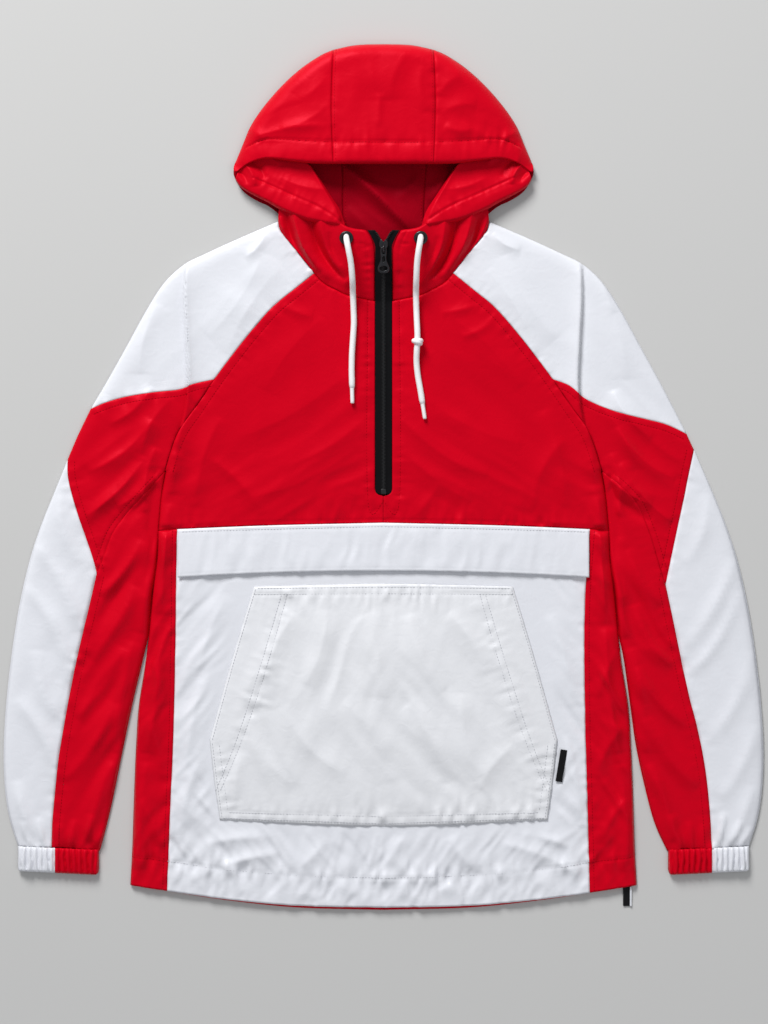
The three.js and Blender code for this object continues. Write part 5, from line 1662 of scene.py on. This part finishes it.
# ---- Stitching ----
class ANORAK_OT_stitching(bpy.types.Operator):
    """Topstitching along the seams, the hem, and the edges of pocket and flap"""

    bl_idname = "anorak.stitching"
    bl_label = "Stitching"

    def execute(self, context):
        sewn = (
            (BODY_LINES, body_height), (SLEEVE_LINES, sleeve_height), (CROWN_LINES, crown_height),
            (HOOD_BACK_LINES, hood_back_height), (POCKET_LINES, self.on_pocket), (FLAP_LINES, self.on_flap),
        )
        thread = {"red": [], "white": []}
        for lines, height in sewn:
            for line in lines:
                if line.thread is not None:
                    for _, sign in SIDES:
                        self.sew(line, sign, height, thread)
        for name, parts in thread.items():
            obj = make_object(f"stitching_{name}", parts, thread_material(name))
            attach(obj, "garment")
        return {"FINISHED"}

    def sew(self, line, sign, height, thread):
        """Adds the stitches of one line; the hem's are white on the white panel and red beside it."""
        path = line_path(line, sign)
        if line.edges == "underarm":
            along = lengths(path)
            path = path[(along > SEAM_END) & (along < along[-1] - SEAM_END)]
        done = stitches(path, height)
        if line.thread != "hem":
            thread[line.thread].extend(done)
            return
        for points, faces in done:
            on_white = HEM_WHITE[0] < points[:, 0].mean() < HEM_WHITE[1]
            thread["white" if on_white else "red"].append((points, faces))

    def on_pocket(self, x, y):
        side = pocket_side()
        half = np.interp(-y, -side[:, 1], side[:, 0])
        u = np.clip((x / half + 1) / 2, 0, 1)
        v = np.clip((y - POCKET_BOTTOM_Y) / (POCKET_TOP_Y - POCKET_BOTTOM_Y), 0, 1)
        return pocket_height(x, y, u, v)

    def on_flap(self, x, y):
        share = (x / FLAP["half"]) ** 2
        top = FLAP["topMiddle"] + (FLAP["topSide"] - FLAP["topMiddle"]) * share
        bottom = FLAP["bottomMiddle"] + (FLAP["bottomSide"] - FLAP["bottomMiddle"]) * share
        v = np.clip((y - bottom) / (top - bottom), 0, 1)
        return flap_height(x, y, None, v)


# ---- Stage ----
CAMERA_LENS, CAMERA_SENSOR = 84.6, 36
CAMERA_PLACE = (0.0005, -0.0379)
SKY_COLOUR, SKY_STRENGTH = (0.93, 0.96, 1.0, 1), 0.34
FLOOR_Z = -0.0006


class ANORAK_OT_stage(bpy.types.Operator):
    """Pale floor, soft studio light and the camera straight above"""

    bl_idname = "anorak.stage"
    bl_label = "Stage"

    def execute(self, context):
        scene = context.scene
        settings = scene.anorak_stage
        bpy.ops.mesh.primitive_plane_add(size=8, location=(0, 0, FLOOR_Z))
        floor = context.object
        floor.name = "floor"
        material = bpy.data.materials.new("Pale Floor")
        material.use_nodes = True
        surface = material.node_tree.nodes["Principled BSDF"]
        surface.inputs["Base Color"].default_value = rgba(settings.floor_colour)
        surface.inputs["Roughness"].default_value = 0.9
        floor.data.materials.append(material)
        lights = [
            ("key", (-1.4, 3.7, 2.5), (0.0, 0.0, 0.0), 1.9, settings.key_power),
            ("fill", (2.0, -2.0, 3.4), (0.0, -0.1, 0.0), 2.6, settings.key_power * 0.10),
        ]
        for name, place, target, size, power in lights:
            data = bpy.data.lights.new(name, "AREA")
            data.shape = "DISK"
            data.size = size
            data.energy = power
            lamp = bpy.data.objects.new(name, data)
            lamp.location = place
            lamp.rotation_euler = (Vector(target) - Vector(place)).to_track_quat("-Z", "Y").to_euler()
            scene.collection.objects.link(lamp)
        world = bpy.data.worlds.new("Studio")
        world.use_nodes = True
        sky = world.node_tree.nodes["Background"]
        sky.inputs["Color"].default_value = SKY_COLOUR
        sky.inputs["Strength"].default_value = SKY_STRENGTH
        scene.world = world
        scene.view_settings.view_transform = "Standard"
        scene.view_settings.look = "None"
        camera_data = bpy.data.cameras.new("camera")
        camera_data.lens = CAMERA_LENS
        camera_data.sensor_width = CAMERA_SENSOR
        camera = bpy.data.objects.new("camera", camera_data)
        camera.location = (*CAMERA_PLACE, settings.camera_height)
        scene.collection.objects.link(camera)
        scene.camera = camera
        return {"FINISHED"}


class ANORAK_PT_panel(bpy.types.Panel):
    """Anorak builder"""

    bl_label = "Anorak"
    bl_idname = "ANORAK_PT_panel"
    bl_space_type = "VIEW_3D"
    bl_region_type = "UI"
    bl_category = "Anorak"

    def draw(self, context):
        layout = self.layout
        for settings in (context.scene.anorak, context.scene.anorak_stage):
            for name in settings.bl_rna.properties.keys():
                if name not in {"rna_type", "name"}:
                    layout.prop(settings, name)
        for operator in OPERATORS:
            layout.operator(operator.bl_idname)


OPERATORS = (
    ANORAK_OT_body, ANORAK_OT_pocket, ANORAK_OT_sleeves, ANORAK_OT_hood, ANORAK_OT_zip, ANORAK_OT_cords,
    ANORAK_OT_stitching, ANORAK_OT_stage,
)
CLASSES = (AnorakSettings, AnorakStageSettings, *OPERATORS, ANORAK_PT_panel)


def register():
    for cls in CLASSES:
        bpy.utils.register_class(cls)
    bpy.types.Scene.anorak = bpy.props.PointerProperty(type=AnorakSettings)
    bpy.types.Scene.anorak_stage = bpy.props.PointerProperty(type=AnorakStageSettings)


def unregister():
    del bpy.types.Scene.anorak_stage
    del bpy.types.Scene.anorak
    for cls in reversed(CLASSES):
        bpy.utils.unregister_class(cls)


def main():
    register()
    bpy.ops.anorak.stage()
    bpy.ops.anorak.cords()
    bpy.ops.anorak.body()
    bpy.ops.anorak.pocket()
    bpy.ops.anorak.sleeves()
    bpy.ops.anorak.hood()
    bpy.ops.anorak.zip()
    bpy.ops.anorak.stitching()


if __name__ == "__main__":
    main()
